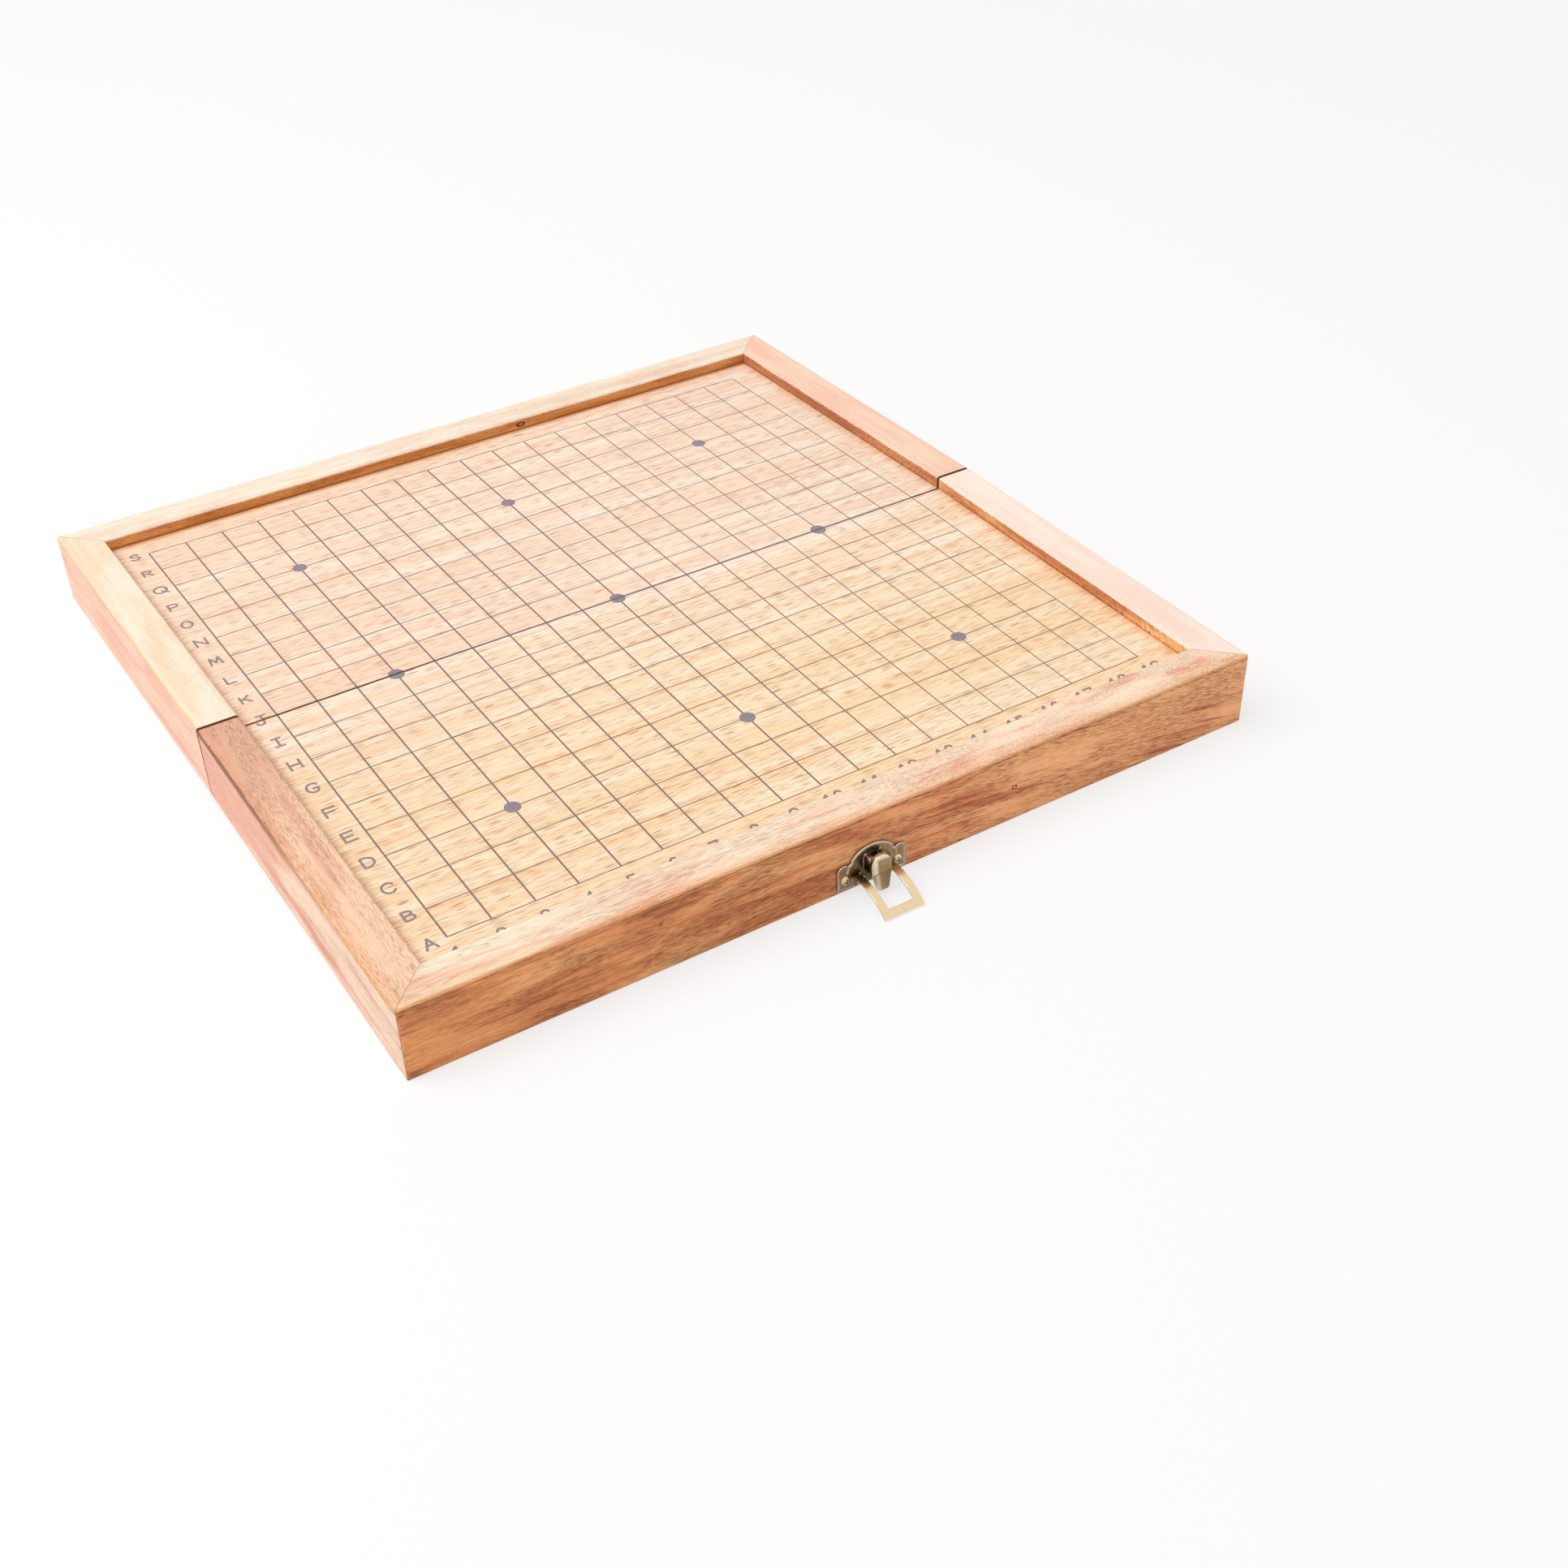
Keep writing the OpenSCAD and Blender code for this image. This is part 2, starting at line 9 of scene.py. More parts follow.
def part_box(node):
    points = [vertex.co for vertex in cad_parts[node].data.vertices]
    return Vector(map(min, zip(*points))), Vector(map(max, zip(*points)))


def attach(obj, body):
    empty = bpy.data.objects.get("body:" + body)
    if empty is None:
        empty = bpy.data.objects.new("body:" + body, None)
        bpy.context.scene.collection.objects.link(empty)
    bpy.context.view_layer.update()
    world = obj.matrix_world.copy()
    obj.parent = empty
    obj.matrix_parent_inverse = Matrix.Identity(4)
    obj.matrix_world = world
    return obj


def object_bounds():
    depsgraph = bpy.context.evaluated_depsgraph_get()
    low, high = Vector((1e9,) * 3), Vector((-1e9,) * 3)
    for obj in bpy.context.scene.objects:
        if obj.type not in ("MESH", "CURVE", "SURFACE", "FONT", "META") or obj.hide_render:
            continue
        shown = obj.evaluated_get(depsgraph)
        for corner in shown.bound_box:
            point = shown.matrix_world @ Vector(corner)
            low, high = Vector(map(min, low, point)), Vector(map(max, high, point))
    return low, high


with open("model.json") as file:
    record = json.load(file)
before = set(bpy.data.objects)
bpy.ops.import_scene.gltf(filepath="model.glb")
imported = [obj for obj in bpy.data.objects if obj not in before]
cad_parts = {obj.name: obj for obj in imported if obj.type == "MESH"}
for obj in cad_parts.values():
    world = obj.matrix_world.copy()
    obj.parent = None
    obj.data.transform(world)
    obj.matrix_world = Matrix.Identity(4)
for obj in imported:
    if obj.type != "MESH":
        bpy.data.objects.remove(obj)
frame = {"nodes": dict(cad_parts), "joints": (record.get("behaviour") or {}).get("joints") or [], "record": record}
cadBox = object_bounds()
nodes = frame["nodes"]
scene = bpy.context.scene

# How the board lies: each half leans down from the hinge line to its outer edge.
# A half is drawn flat, with its depth measured from the seam and its height from its underside.
foldJoint = next(j for j in frame["joints"] if j["name"] == "fold")
underside = next(m for m in frame["record"]["mounts"] if m["name"] == "back_underside")
hingeZ = foldJoint["pos_m"][2]
leanSin = -underside["axis"][1]
leanCos = -underside["axis"][2]
hingeDrop = underside["pos_m"][1] * leanSin + (underside["pos_m"][2] - hingeZ) * leanCos


def heightOf(worldZ):
    # height above the underside of a face that meets the seam at this world height
    return (worldZ - hingeZ) / leanCos - hingeDrop


board = {
    "halfWidth": cadBox[1].x,
    "railTop": heightOf(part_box("back_left_rail")[1].z),
    "face": heightOf(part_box("back_panel")[1].z),
    "railWidth": cadBox[1].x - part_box("back_right_rail")[0].x,
    "columnLine": 0.00075,
    "rowLine": 0.0004,
    "halfLines": 9,
    "starStep": 6,
    "starRadius": 0.0035,
}
board["halfDepth"] = (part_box("back_rail")[1].y - board["railTop"] * leanSin) / leanCos
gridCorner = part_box("back_grid")[1]
board["columnPitch"] = (gridCorner.x - board["columnLine"] / 2) / board["halfLines"]
board["rowPitch"] = (
    (gridCorner.y - (board["face"] + hingeDrop) * leanSin) / leanCos - board["rowLine"] / 2
) / board["halfLines"]
print("board:", {k: round(v, 5) for k, v in board.items()})


class Wire:
    # an output socket of a finish; arithmetic on it adds Math nodes
    def __init__(self, finish, socket):
        self.finish = finish
        self.socket = socket

    def maths(self, operation, *values):
        return self.finish.node("ShaderNodeMath", {"operation": operation}, values)

    def __add__(self, other):
        return self.maths("ADD", self, other)

    def __sub__(self, other):
        return self.maths("SUBTRACT", self, other)

    def __mul__(self, other):
        return self.maths("MULTIPLY", self, other)

    def __rsub__(self, other):
        return self.maths("SUBTRACT", other, self)

    __radd__ = __add__
    __rmul__ = __mul__

    def __abs__(self):
        return self.maths("ABSOLUTE", self)

    def least(self, other):
        return self.maths("MINIMUM", self, other)

    def most(self, other):
        return self.maths("MAXIMUM", self, other)

    def rise(self, low, high):
        # 0 below low, 1 above high, smooth between them
        return self.finish.node(
            "ShaderNodeMapRange", {"interpolation_type": "SMOOTHSTEP"}, (self, low, high, 0.0, 1.0)
        )

    def near(self, place, half, soft):
        # 1 within half of a place, fading out over soft
        return 1 - abs(self - place).rise(half, half + soft)


class Finish:
    # a material or the surround: its node tree, and the surface shader of a material
    def __init__(self, name, owner=None):
        self.material = owner or bpy.data.materials.new(name)
        self.material.use_nodes = True
        self.tree = self.material.node_tree
        self.shader = self.tree.nodes.get("Principled BSDF")
        self.made = 0

    def node(self, kind, settings=None, values=(), output=0):
        made = self.tree.nodes.new(kind)
        made.location = (-260 - 190 * (self.made // 8), 400 - 190 * (self.made % 8))
        self.made += 1
        for key, value in (settings or {}).items():
            setattr(made, key, value)
        for key, value in values.items() if isinstance(values, dict) else enumerate(values):
            self.feed(made.inputs[key], value)
        return Wire(self, made.outputs[output])

    def feed(self, socket, value):
        if isinstance(value, Wire):
            self.tree.links.new(value.socket, socket)
        elif socket.type == "RGBA":
            socket.default_value = (*value, 1.0)
        else:
            socket.default_value = value

    def place(self):
        # object coordinates, as x, depth from the seam and height above the underside of a half
        spot = self.node("ShaderNodeTexCoord", output="Object")
        x, y, z = (self.node("ShaderNodeSeparateXYZ", None, [spot], i) for i in range(3))
        out, up = abs(y), z - hingeZ
        return x, out * leanCos - up * leanSin, out * leanSin + up * leanCos - hingeDrop

    def vector(self, x, y, z):
        return self.node("ShaderNodeCombineXYZ", None, (x, y, z))

    def noise(self, x, y, z, detail=2.0, rough=0.5):
        spot = self.vector(x, y, z)
        return self.node(
            "ShaderNodeTexNoise",
            None,
            {"Vector": spot, "Scale": 1.0, "Detail": detail, "Roughness": rough},
        )

    def mix(self, share, first, second, blend="MIX"):
        return self.node(
            "ShaderNodeMix",
            {"data_type": "RGBA", "blend_type": blend},
            {0: share, 6: first, 7: second},
            2,
        )

    def shade(self, colour, level):
        return self.node("ShaderNodeVectorMath", {"operation": "SCALE"}, {0: colour, "Scale": level})

    def finish(self, **values):
        # socket names have their spaces taken out
        for socket in self.shader.inputs:
            if socket.name.replace(" ", "") in values:
                self.feed(socket, values[socket.name.replace(" ", "")])
        return self.material

    def spread(self, surface):
        # sends a shader to the tree's output
        out = next(n for n in self.tree.nodes if n.type in ("OUTPUT_MATERIAL", "OUTPUT_WORLD"))
        self.feed(out.inputs["Surface"], surface)

    def bump(self, height, depth, strength=1.0):
        return self.node(
            "ShaderNodeBump", None, {"Strength": strength, "Distance": depth, "Height": height}
        )


def dress(material, *names):
    for name in names:
        mesh = nodes[name].data
        mesh.materials.clear()
        mesh.materials.append(material)


# Camera, at the photograph's place, turn and lens
cameraPlace = {
    "location": (-0.35432, -0.72539, 0.52002),
    "azimuth": 31.27,    # turned right from +Y
    "elevation": 36.647,  # looking down
    "roll": -1.954,
    "lens": 46.70,
    "sensor": 36.0,
}


def makeCamera(p):
    azimuth, elevation, roll = (math.radians(p[k]) for k in ("azimuth", "elevation", "roll"))
    level = np.array([math.cos(azimuth), -math.sin(azimuth), 0.0])
    ahead = np.array([
        math.sin(azimuth) * math.cos(elevation),
        math.cos(azimuth) * math.cos(elevation),
        -math.sin(elevation),
    ])
    upright = np.cross(level, ahead)
    right = level * math.cos(roll) + upright * math.sin(roll)
    up = upright * math.cos(roll) - level * math.sin(roll)
    data = bpy.data.cameras.new("photoCamera")
    data.lens, data.sensor_width = p["lens"], p["sensor"]
    data.clip_start, data.clip_end = 0.01, 50.0
    camera = bpy.data.objects.new("photoCamera", data)
    scene.collection.objects.link(camera)
    turn = Matrix(np.column_stack([right, up, -ahead]).tolist()).to_4x4()
    camera.matrix_world = Matrix.Translation(p["location"]) @ turn
    scene.camera = camera


makeCamera(cameraPlace)
print("camera: set")

# Studio: a pale floor, an even surround and one broad lamp over the left end
studio = {
    "floorHalf": 4.0,
    "floorColour": (0.90, 0.90, 0.90),
    "floorWhite": 0.72,      # share of plain white that the eye sees in the floor
    "surround": 0.52,
    "lampFrom": (-0.50, 0.16, 0.85),
    "lampAway": 2.6,
    "lampSize": 1.9,
    "lampPower": 52.0,
    "lampColour": (1.0, 0.985, 0.965),
}


def seenDirectly(f):
    # 1 for rays from the eye and for gloss and glass
    camera, gloss, glass = (
        f.node("ShaderNodeLightPath", output="Is " + kind + " Ray")
        for kind in ("Camera", "Glossy", "Transmission")
    )
    return camera.most(gloss).most(glass)


def makeStudio(p):
    half = p["floorHalf"]
    mesh = bpy.data.meshes.new("floor")
    corners = [(-half, -half, 0), (half, -half, 0), (half, half, 0), (-half, half, 0)]
    mesh.from_pydata(corners, [], [(0, 1, 2, 3)])
    floor = bpy.data.objects.new("floor", mesh)
    scene.collection.objects.link(floor)
    paper = Finish("floorPaper")
    paper.finish(BaseColor=p["floorColour"], Roughness=0.9, SpecularIORLevel=0.1)
    glow = paper.node("ShaderNodeEmission", None, {"Color": (1, 1, 1), "Strength": 1.0})
    matt = Wire(paper, paper.shader.outputs[0])
    lift = seenDirectly(paper) * p["floorWhite"]
    paper.spread(paper.node("ShaderNodeMixShader", None, (lift, matt, glow)))
    mesh.materials.append(paper.material)

    # the surround lights evenly, and shows white to the eye and in gloss
    scene.world = bpy.data.worlds.new("surround")
    sky = Finish("surround", scene.world)
    lit = sky.node("ShaderNodeBackground", None, {"Color": (1, 1, 1), "Strength": p["surround"]})
    white = sky.node("ShaderNodeBackground", None, {"Color": (1, 1, 1), "Strength": 1.0})
    sky.spread(sky.node("ShaderNodeMixShader", None, (seenDirectly(sky), lit, white)))

    lamp = bpy.data.lights.new("softbox", "AREA")
    lamp.shape = "SQUARE"
    lamp.size, lamp.energy, lamp.color = p["lampSize"], p["lampPower"], p["lampColour"]
    softbox = bpy.data.objects.new("softbox", lamp)
    scene.collection.objects.link(softbox)
    away = Vector(p["lampFrom"]).normalized()
    softbox.location = away * p["lampAway"]
    softbox.rotation_euler = (-away).to_track_quat("-Z", "Y").to_euler()


makeStudio(studio)
scene.view_settings.view_transform = "Standard"
print("studio: floor, surround and softbox")

# Rail wood: each rail has a pale, a warm and a streak colour for its top and for its sides, the
# length and width of its pores, and how strongly pores and streaks show on the top and on the sides
railLook = {
    "layers": {            # waves per metre along and across the grain, detail, roughness
        "stray": (3.0, 9.0, 2.0, 0.5),
        "wave": (26.0, 55.0, 2.0, 0.5),
        "patches": (16.0, 85.0, 2.0, 0.55),
        "bands": (6.0, 360.0, 3.0, 0.6),
        "streaks": (32.0, 1300.0, 2.0, 0.6),
        "fibres": (150.0, 4600.0, 2.0, 0.6),
        "field": (24.0, 130.0, 2.0, 0.5),
    },
    "apart": 3.1,          # metres of grain between one rail's wood and the next one's
    "wander": 0.012,       # how far the grain strays
    "ripple": 0.0014,      # its small waves
    "bendFrom": -0.05,     # where the grain begins to run down the front face
    "ground": (0.42, 0.58),    # of patches and bands, from the pale colour to the warm one
    "fine": (0.50, 0.61),      # of patches, bands and streaks, to the streak colour
    "poreWaves": (0.9, 1.6),   # in a pore's length and width
    "poreRise": (0.59, 0.66),
    "poreField": (0.34, 0.54),
    "poreTint": (0.42, 0.26, 0.19),    # of the sides, and of the tops
    "topTint": (0.76, 0.50, 0.38),
    "poreDepth": 0.00008,
    "roughness": 0.56,
    "ragged": (0.0014, 0.0010),    # how far streaks and pores fray the borders between colours
    "topEdge": 0.0010,     # below the top, where the side colours begin
    "edgeRound": 0.0013,   # reach of the rounded outer edge
    "edgeFade": (0.06, 0.15),      # from the seam, between the two colours of that edge
    "scarWidth": 0.00012,  # of the ragged dark line under that edge
    "marginReach": (0.0015, 0.0075),
    "blushReach": (-0.10, 0.08),
    "curl": (210.0, 900.0, 1200.0),        # waves per metre of the figure: along, across, down
    "curlTint": (0.70, 0.54, 0.46),
    "smokeReach": (-0.12, 0.10),
    "smokeTint": (0.74, 0.66, 0.62),
    "duskReach": (0.02, 0.11),             # from the seam
    "duskTint": (0.80, 0.76, 0.74),
    "hatchWaves": (750.0, 190.0),          # along the slant, and up
    "hatchSlant": 0.9,
    "innerReach": (0.0004, 0.0002),        # of the inner wall: half width, softness
    "mitreReach": (0.00010, 0.00018),
    "endWaves": (90.0, 620.0),             # of the rings in the sawn ends at the seam: across, up
    # the sawn ends are dark as end grain and partly as painted shade in the seam gap
    "endColour": (0.17, 0.062, 0.020),
    "endPale": (0.40, 0.185, 0.080),
    "endReach": 0.0004,
    "nibWaves": (480.0, 600.0),            # where an inner wall meets the panel: along, up
    # painted shade in the corner where an inner wall meets the panel
    "footColour": (0.20, 0.075, 0.026),
    "footReach": 0.0004,
    "footSoft": 0.0009,
    "footShare": 0.6,
}
seamWood = ((0.84, 0.50, 0.27), (0.74, 0.38, 0.18), (0.52, 0.22, 0.10))
# The side colours hold painted light and shade as well as the wood's own tone: paler on faces the lamp lights,
# such as the left rails' outer faces, and deeper on inner walls and faces turned from it.
railTones = {
    "back_rail": {
        "grain": "x", "seed": 1.0, "dash": (0.0028, 0.00022),
        "pores": (0.35, 0.55), "streaky": (0.70, 0.75), "scar": 0.10, "nibs": 0.0008,
        "top": ((0.93, 0.81, 0.66), (0.91, 0.72, 0.56), (0.86, 0.55, 0.42)),
        "side": ((0.90, 0.43, 0.15), (0.76, 0.30, 0.085), (0.54, 0.19, 0.05)),
        "edge": ((0.92, 0.70, 0.54), (0.92, 0.70, 0.54)),
    },
    "back_left_rail": {
        "grain": "y", "seed": 2.0, "dash": (0.0010, 0.00034),
        "pores": (0.38, 0.25), "streaky": (0.35, 0.60), "scar": 0.30, "nibs": 0.002,
        "top": ((0.92, 0.79, 0.64), (0.90, 0.70, 0.50), (0.87, 0.61, 0.41)),
        "side": ((0.92, 0.62, 0.47), (0.88, 0.52, 0.39), (0.80, 0.40, 0.30)),
        "edge": ((0.92, 0.54, 0.24), (0.92, 0.58, 0.30)),
    },
    "back_right_rail": {
        "grain": "y", "seed": 3.0, "dash": (0.0022, 0.00036),
        "pores": (0.14, 0.55), "streaky": (0.28, 0.60), "scar": 0.15, "nibs": 0.003, "hatch": 0.55,
        "top": ((0.94, 0.67, 0.51), (0.93, 0.58, 0.43), (0.89, 0.50, 0.37)),
        "side": ((0.66, 0.28, 0.13), (0.52, 0.185, 0.082), (0.34, 0.11, 0.05)),
        "edge": ((0.94, 0.62, 0.47), (0.94, 0.62, 0.47)),
    },
    "back_seam_rail": {
        "grain": "x", "seed": 4.0, "dash": (0.0030, 0.00036),
        "pores": (0.6, 0.6), "streaky": (0.7, 0.7), "top": seamWood, "side": seamWood,
    },
    "front_rail": {
        "grain": "x", "seed": 5.0, "dash": (0.0048, 0.00027),
        "pores": (0.70, 0.90), "streaky": (1.0, 0.85), "scar": 0.80, "nibs": 0.002,
        # on the front rail's sides, lean is painted light: the face is paler towards its right end
        "bend": 0.45, "figure": 0.9, "smoke": 0.8, "margin": (0.96, 0.82, 0.72), "lean": (-0.6, 0.0),
        "blush": ((1.02, 0.95, 0.92), (1.12, 1.0, 1.06)),
        "top": ((0.95, 0.80, 0.62), (0.94, 0.72, 0.535), (0.83, 0.43, 0.29)),
        "side": ((1.0, 0.56, 0.245), (0.94, 0.38, 0.145), (0.52, 0.170, 0.074)),
        "edge": ((0.90, 0.46, 0.21), (0.90, 0.46, 0.21)),
    },
    "front_left_rail": {
        "grain": "y", "seed": 6.0, "dash": (0.0034, 0.00024),
        "pores": (0.65, 0.40), "streaky": (0.60, 0.70), "scar": 0.20, "nibs": 0.002,
        "drop": 0.0030, "dusk": 0.75, "margin": (0.98, 0.87, 0.80), "lean": (-2.4, -2.4),
        "topTint": (0.48, 0.32, 0.26),
        "top": ((0.94, 0.63, 0.43), (0.87, 0.52, 0.36), (0.66, 0.31, 0.22)),
        "side": ((0.92, 0.67, 0.51), (0.85, 0.45, 0.325), (0.64, 0.26, 0.18)),
        "edge": ((0.24, 0.095, 0.055), (0.78, 0.42, 0.19)),
    },
    "front_right_rail": {
        "grain": "y", "seed": 7.0, "dash": (0.0018, 0.00036),
        "pores": (0.12, 0.55), "streaky": (0.28, 0.60), "scar": 0.10, "nibs": 0.003, "hatch": 0.60,
        "top": ((0.98, 0.82, 0.71), (0.97, 0.75, 0.63), (0.94, 0.66, 0.54)),
        "side": ((0.95, 0.54, 0.25), (0.72, 0.29, 0.125), (0.44, 0.145, 0.062)),
        "edge": ((0.94, 0.72, 0.60), (0.94, 0.72, 0.60)),
    },
    "front_seam_rail": {
        "grain": "x", "seed": 8.0, "dash": (0.0030, 0.00036),
        "pores": (0.6, 0.6), "streaky": (0.7, 0.7), "top": seamWood, "side": seamWood,
    },
}


def railWood(name, tone, p):
    f = Finish(name + "Wood")
    x, depth, height = f.place()
    alongX = tone["grain"] == "x"
    along, across = (x, depth) if alongX else (depth, x)
    middle = 0.0 if alongX else board["halfDepth"] / 2
    lean = along - middle    # paler or warmer towards one end; on the front rail's face this is painted light, paler towards its right end
    # towards the right end the grain runs down the face
    fall = (along - p["bendFrom"]).most(0.0)
    fall = fall * fall * tone.get("bend", 0.0)
    along = along + p["apart"] * tone["seed"]

    def layer(kind, side, deep):
        # one noise of the grain
        wavesAlong, wavesAcross, detail, rough = p["layers"][kind]
        return f.noise(along * wavesAlong, side * wavesAcross, deep * wavesAcross, detail, rough)

    # the grain strays slowly, and a little faster in small waves
    stray = layer("stray", across, height) - 0.5
    wave = layer("wave", across, height) - 0.5
    side = across + stray * p["wander"] + wave * p["ripple"]
    deep = height + stray * (0.7 * p["wander"]) + wave * p["ripple"] + fall
    patches, bands, streaks, fibres, field = (
        layer(kind, side, deep) for kind in ("patches", "bands", "streaks", "fibres", "field")
    )
    length, width = (waves / size for waves, size in zip(p["poreWaves"], tone["dash"]))
    pores = f.noise(along * length, side * width, deep * width, 0.0)
    ragged = (streaks - 0.5) * p["ragged"][0] + (pores - 0.5) * p["ragged"][1]
    top = board["railTop"]
    onTop = (height + ragged).rise(top - p["topEdge"], top - 0.4 * p["topEdge"])

    def share(pair):
        # a pair of values for the top and for the sides
        return onTop * (pair[0] - pair[1]) + pair[1]

    def toned(pale, warm, streak, drift=0.0):
        ground = f.mix((patches * 0.65 + bands * 0.35 + drift).rise(*p["ground"]), pale, warm)
        fine = (patches * 0.4 + bands * 0.3 + streaks * 0.3).rise(*p["fine"])
        return f.mix(fine * streaky, ground, streak)

    streaky = share(tone["streaky"])
    leanSide, leanTop = (lean * amount for amount in tone.get("lean", (0.0, 0.0)))
    # painted light and shade: each rail's sides take colours for how the lamp lights or misses them
    colour = f.mix(onTop, toned(*tone["side"], leanSide), toned(*tone["top"], leanTop))
    if "blush" in tone:
        # redder towards the right end, on the top and on the sides
        blush = f.mix(onTop, tone["blush"][1], tone["blush"][0])
        colour = f.mix(x.rise(*p["blushReach"]), colour, blush, "MULTIPLY")
    colour = f.shade(colour, 1.0 + ((fibres - 0.5) * 0.9 + (streaks - 0.5) * 0.45) * streaky)
    if "figure" in tone:
        # short wavy marks over the sides, as where the grain interlocks
        wavesAlong, wavesAcross, wavesDown = p["curl"]
        curl = f.noise(along * wavesAlong, side * wavesAcross, deep * wavesDown, 1.0, 0.5)
        curl = curl.rise(0.48, 0.66) * (1 - onTop) * tone["figure"]
        colour = f.mix(curl * 0.45, colour, p["curlTint"], "MULTIPLY")
    if "smoke" in tone:
        # broad dark patches over the sides, most of them at the left end
        leftward = 1 - x.rise(*p["smokeReach"]) * 0.7
        smoke = field.rise(0.42, 0.60) * leftward * (1 - onTop) * tone["smoke"]
        colour = f.mix(smoke, colour, p["smokeTint"], "MULTIPLY")
    if "edge" in tone:
        rim = (board["halfDepth"] - depth) if alongX else (board["halfWidth"] - abs(x))
        reach = p["edgeRound"]
        drop = tone.get("drop", 1.2 * reach)
        if "margin" in tone:
            # the top is warmer towards its outer edge
            margin = (1 - (rim + ragged).rise(*p["marginReach"])) * onTop
            colour = f.mix(margin, colour, tone["margin"], "MULTIPLY")
        # the rounded outer edge, more golden than the rest, with a ragged dark line under it
        edge = 1 - (rim + ragged).rise(0.35 * reach, 0.7 * reach)
        edge = edge * (height + ragged * 1.5).rise(top - drop, top - 0.75 * drop)
        colour = f.mix(edge * 0.85, colour, f.mix(depth.rise(*p["edgeFade"]), *tone["edge"]))
    if "dusk" in tone:
        # the top is darker near the seam
        dusk = (1 - depth.rise(*p["duskReach"])) * onTop * tone["dusk"]
        colour = f.mix(dusk, colour, p["duskTint"], "MULTIPLY")
    pore = pores.rise(*p["poreRise"]) * field.rise(*p["poreField"]) * share(tone["pores"])
    poreTint = f.mix(onTop, p["poreTint"], tone.get("topTint", p["topTint"]))
    colour = f.mix(pore, colour, poreTint, "MULTIPLY")
    if "edge" in tone:
        scar = (height + ragged * 1.6).near(top - 1.2 * reach, p["scarWidth"], 2 * p["scarWidth"])
        scar = scar * (1 - rim.rise(0.2 * reach, 0.4 * reach))
        colour = f.mix(scar * tone["scar"], colour, p["poreTint"], "MULTIPLY")
        # the inner wall: slanting marks, and painted shade along its uneven foot where it meets the panel
        inner = rim.near(board["railWidth"], *p["innerReach"])
        if "hatch" in tone:
            slant = depth + height * p["hatchSlant"]
            wavesAlong, wavesUp = p["hatchWaves"]
            hatch = f.noise(slant * wavesAlong, height * wavesUp, tone["seed"], 2.0, 0.6)
            hatch = hatch.rise(0.48, 0.62) * inner * (1 - onTop) * tone["hatch"]
            colour = f.mix(hatch, colour, tone["side"][2])
        wavesAlong, wavesUp = p["nibWaves"]
        nibs = f.noise(along * wavesAlong, height * wavesUp, tone["seed"], 1.0) - 0.5
        cornerShade = (height + nibs * tone["nibs"]).near(board["face"], p["footReach"], p["footSoft"])
        colour = f.mix(cornerShade * inner * p["footShare"], colour, p["footColour"])
        # a thin dark line where two rails meet at the mitre
        mitre = (board["halfWidth"] - abs(x)) - (board["halfDepth"] - depth)
        colour = f.mix(mitre.near(0.0, *p["mitreReach"]) * 0.7, colour, p["poreTint"], "MULTIPLY")
        # end grain where a side rail is sawn at the seam, painted dark partly as end grain and partly as the shade
        # in the seam gap
        sawn = 1 - depth.rise(p["endReach"], 1.6 * p["endReach"])
        wavesAcross, wavesUp = p["endWaves"]
        rings = f.noise(x * wavesAcross, height * wavesUp, tone["seed"], 3.0, 0.6)
        sawnColour = f.mix(rings.rise(0.38, 0.64), p["endColour"], p["endPale"])
        colour = f.mix(sawn * 0.9, colour, sawnColour)
    for knot in railKnots.get(name, ()):
        colour = knotted(f, colour, (x, depth, height), knot)
    return f.finish(
        BaseColor=colour,
        Roughness=p["roughness"] + (fibres - 0.5) * 0.2,
        SpecularIORLevel=0.25,
        Normal=f.bump(fibres * 0.5 - pore, p["poreDepth"]),
    )


# Small knots: where they lie in a half, how wide and tall they are, the middle, half width and
# softness of the ring, and how strongly the ring and the core show
railKnots = {
    "back_rail": (
        {
            "at": (0.0424, 0.1845, 0.0318), "wide": 0.0026, "tall": 0.0013, "rim": (0.80, 0.13, 0.22),
            "colour": (0.10, 0.03, 0.012), "share": 0.95, "core": 0.80,
        },
        {
            "at": (0.0438, 0.1956, 0.0350), "wide": 0.0025, "tall": 0.0024, "rim": (0.82, 0.04, 0.22),
            "colour": (0.84, 0.52, 0.40), "share": 0.70, "core": 0.0,
        },
    ),
    "front_rail": (
        {
            "at": (0.0736, 0.2030, 0.0171), "wide": 0.0014, "tall": 0.0010, "rim": (0.82, 0.12, 0.26),
            "colour": (0.07, 0.025, 0.015), "share": 0.90, "core": 0.30,
        },
    ),
}


def knotted(f, colour, place, knot):
    # an ellipse about the knot's middle, with a ring at its rim and a core that is darker on the left
    x, depth, height = (here - there for here, there in zip(place, knot["at"]))
    x = x * (1 / knot["wide"])
    rise = height * (1 / knot["tall"])
    back = depth * (1 / knot["tall"])
    reach = x.maths("SQRT", x * x + rise * rise + back * back)
    core = (1 - reach.rise(0.6, 0.9)) * (1 - x.rise(-0.8, 0.5)) * knot["core"]
    return f.mix((reach.near(*knot["rim"]) * knot["share"]).most(core), colour, knot["colour"])


for name, tone in railTones.items():
    dress(railWood(name, tone, railLook), name)
print("rails:", len(railTones), "woods")

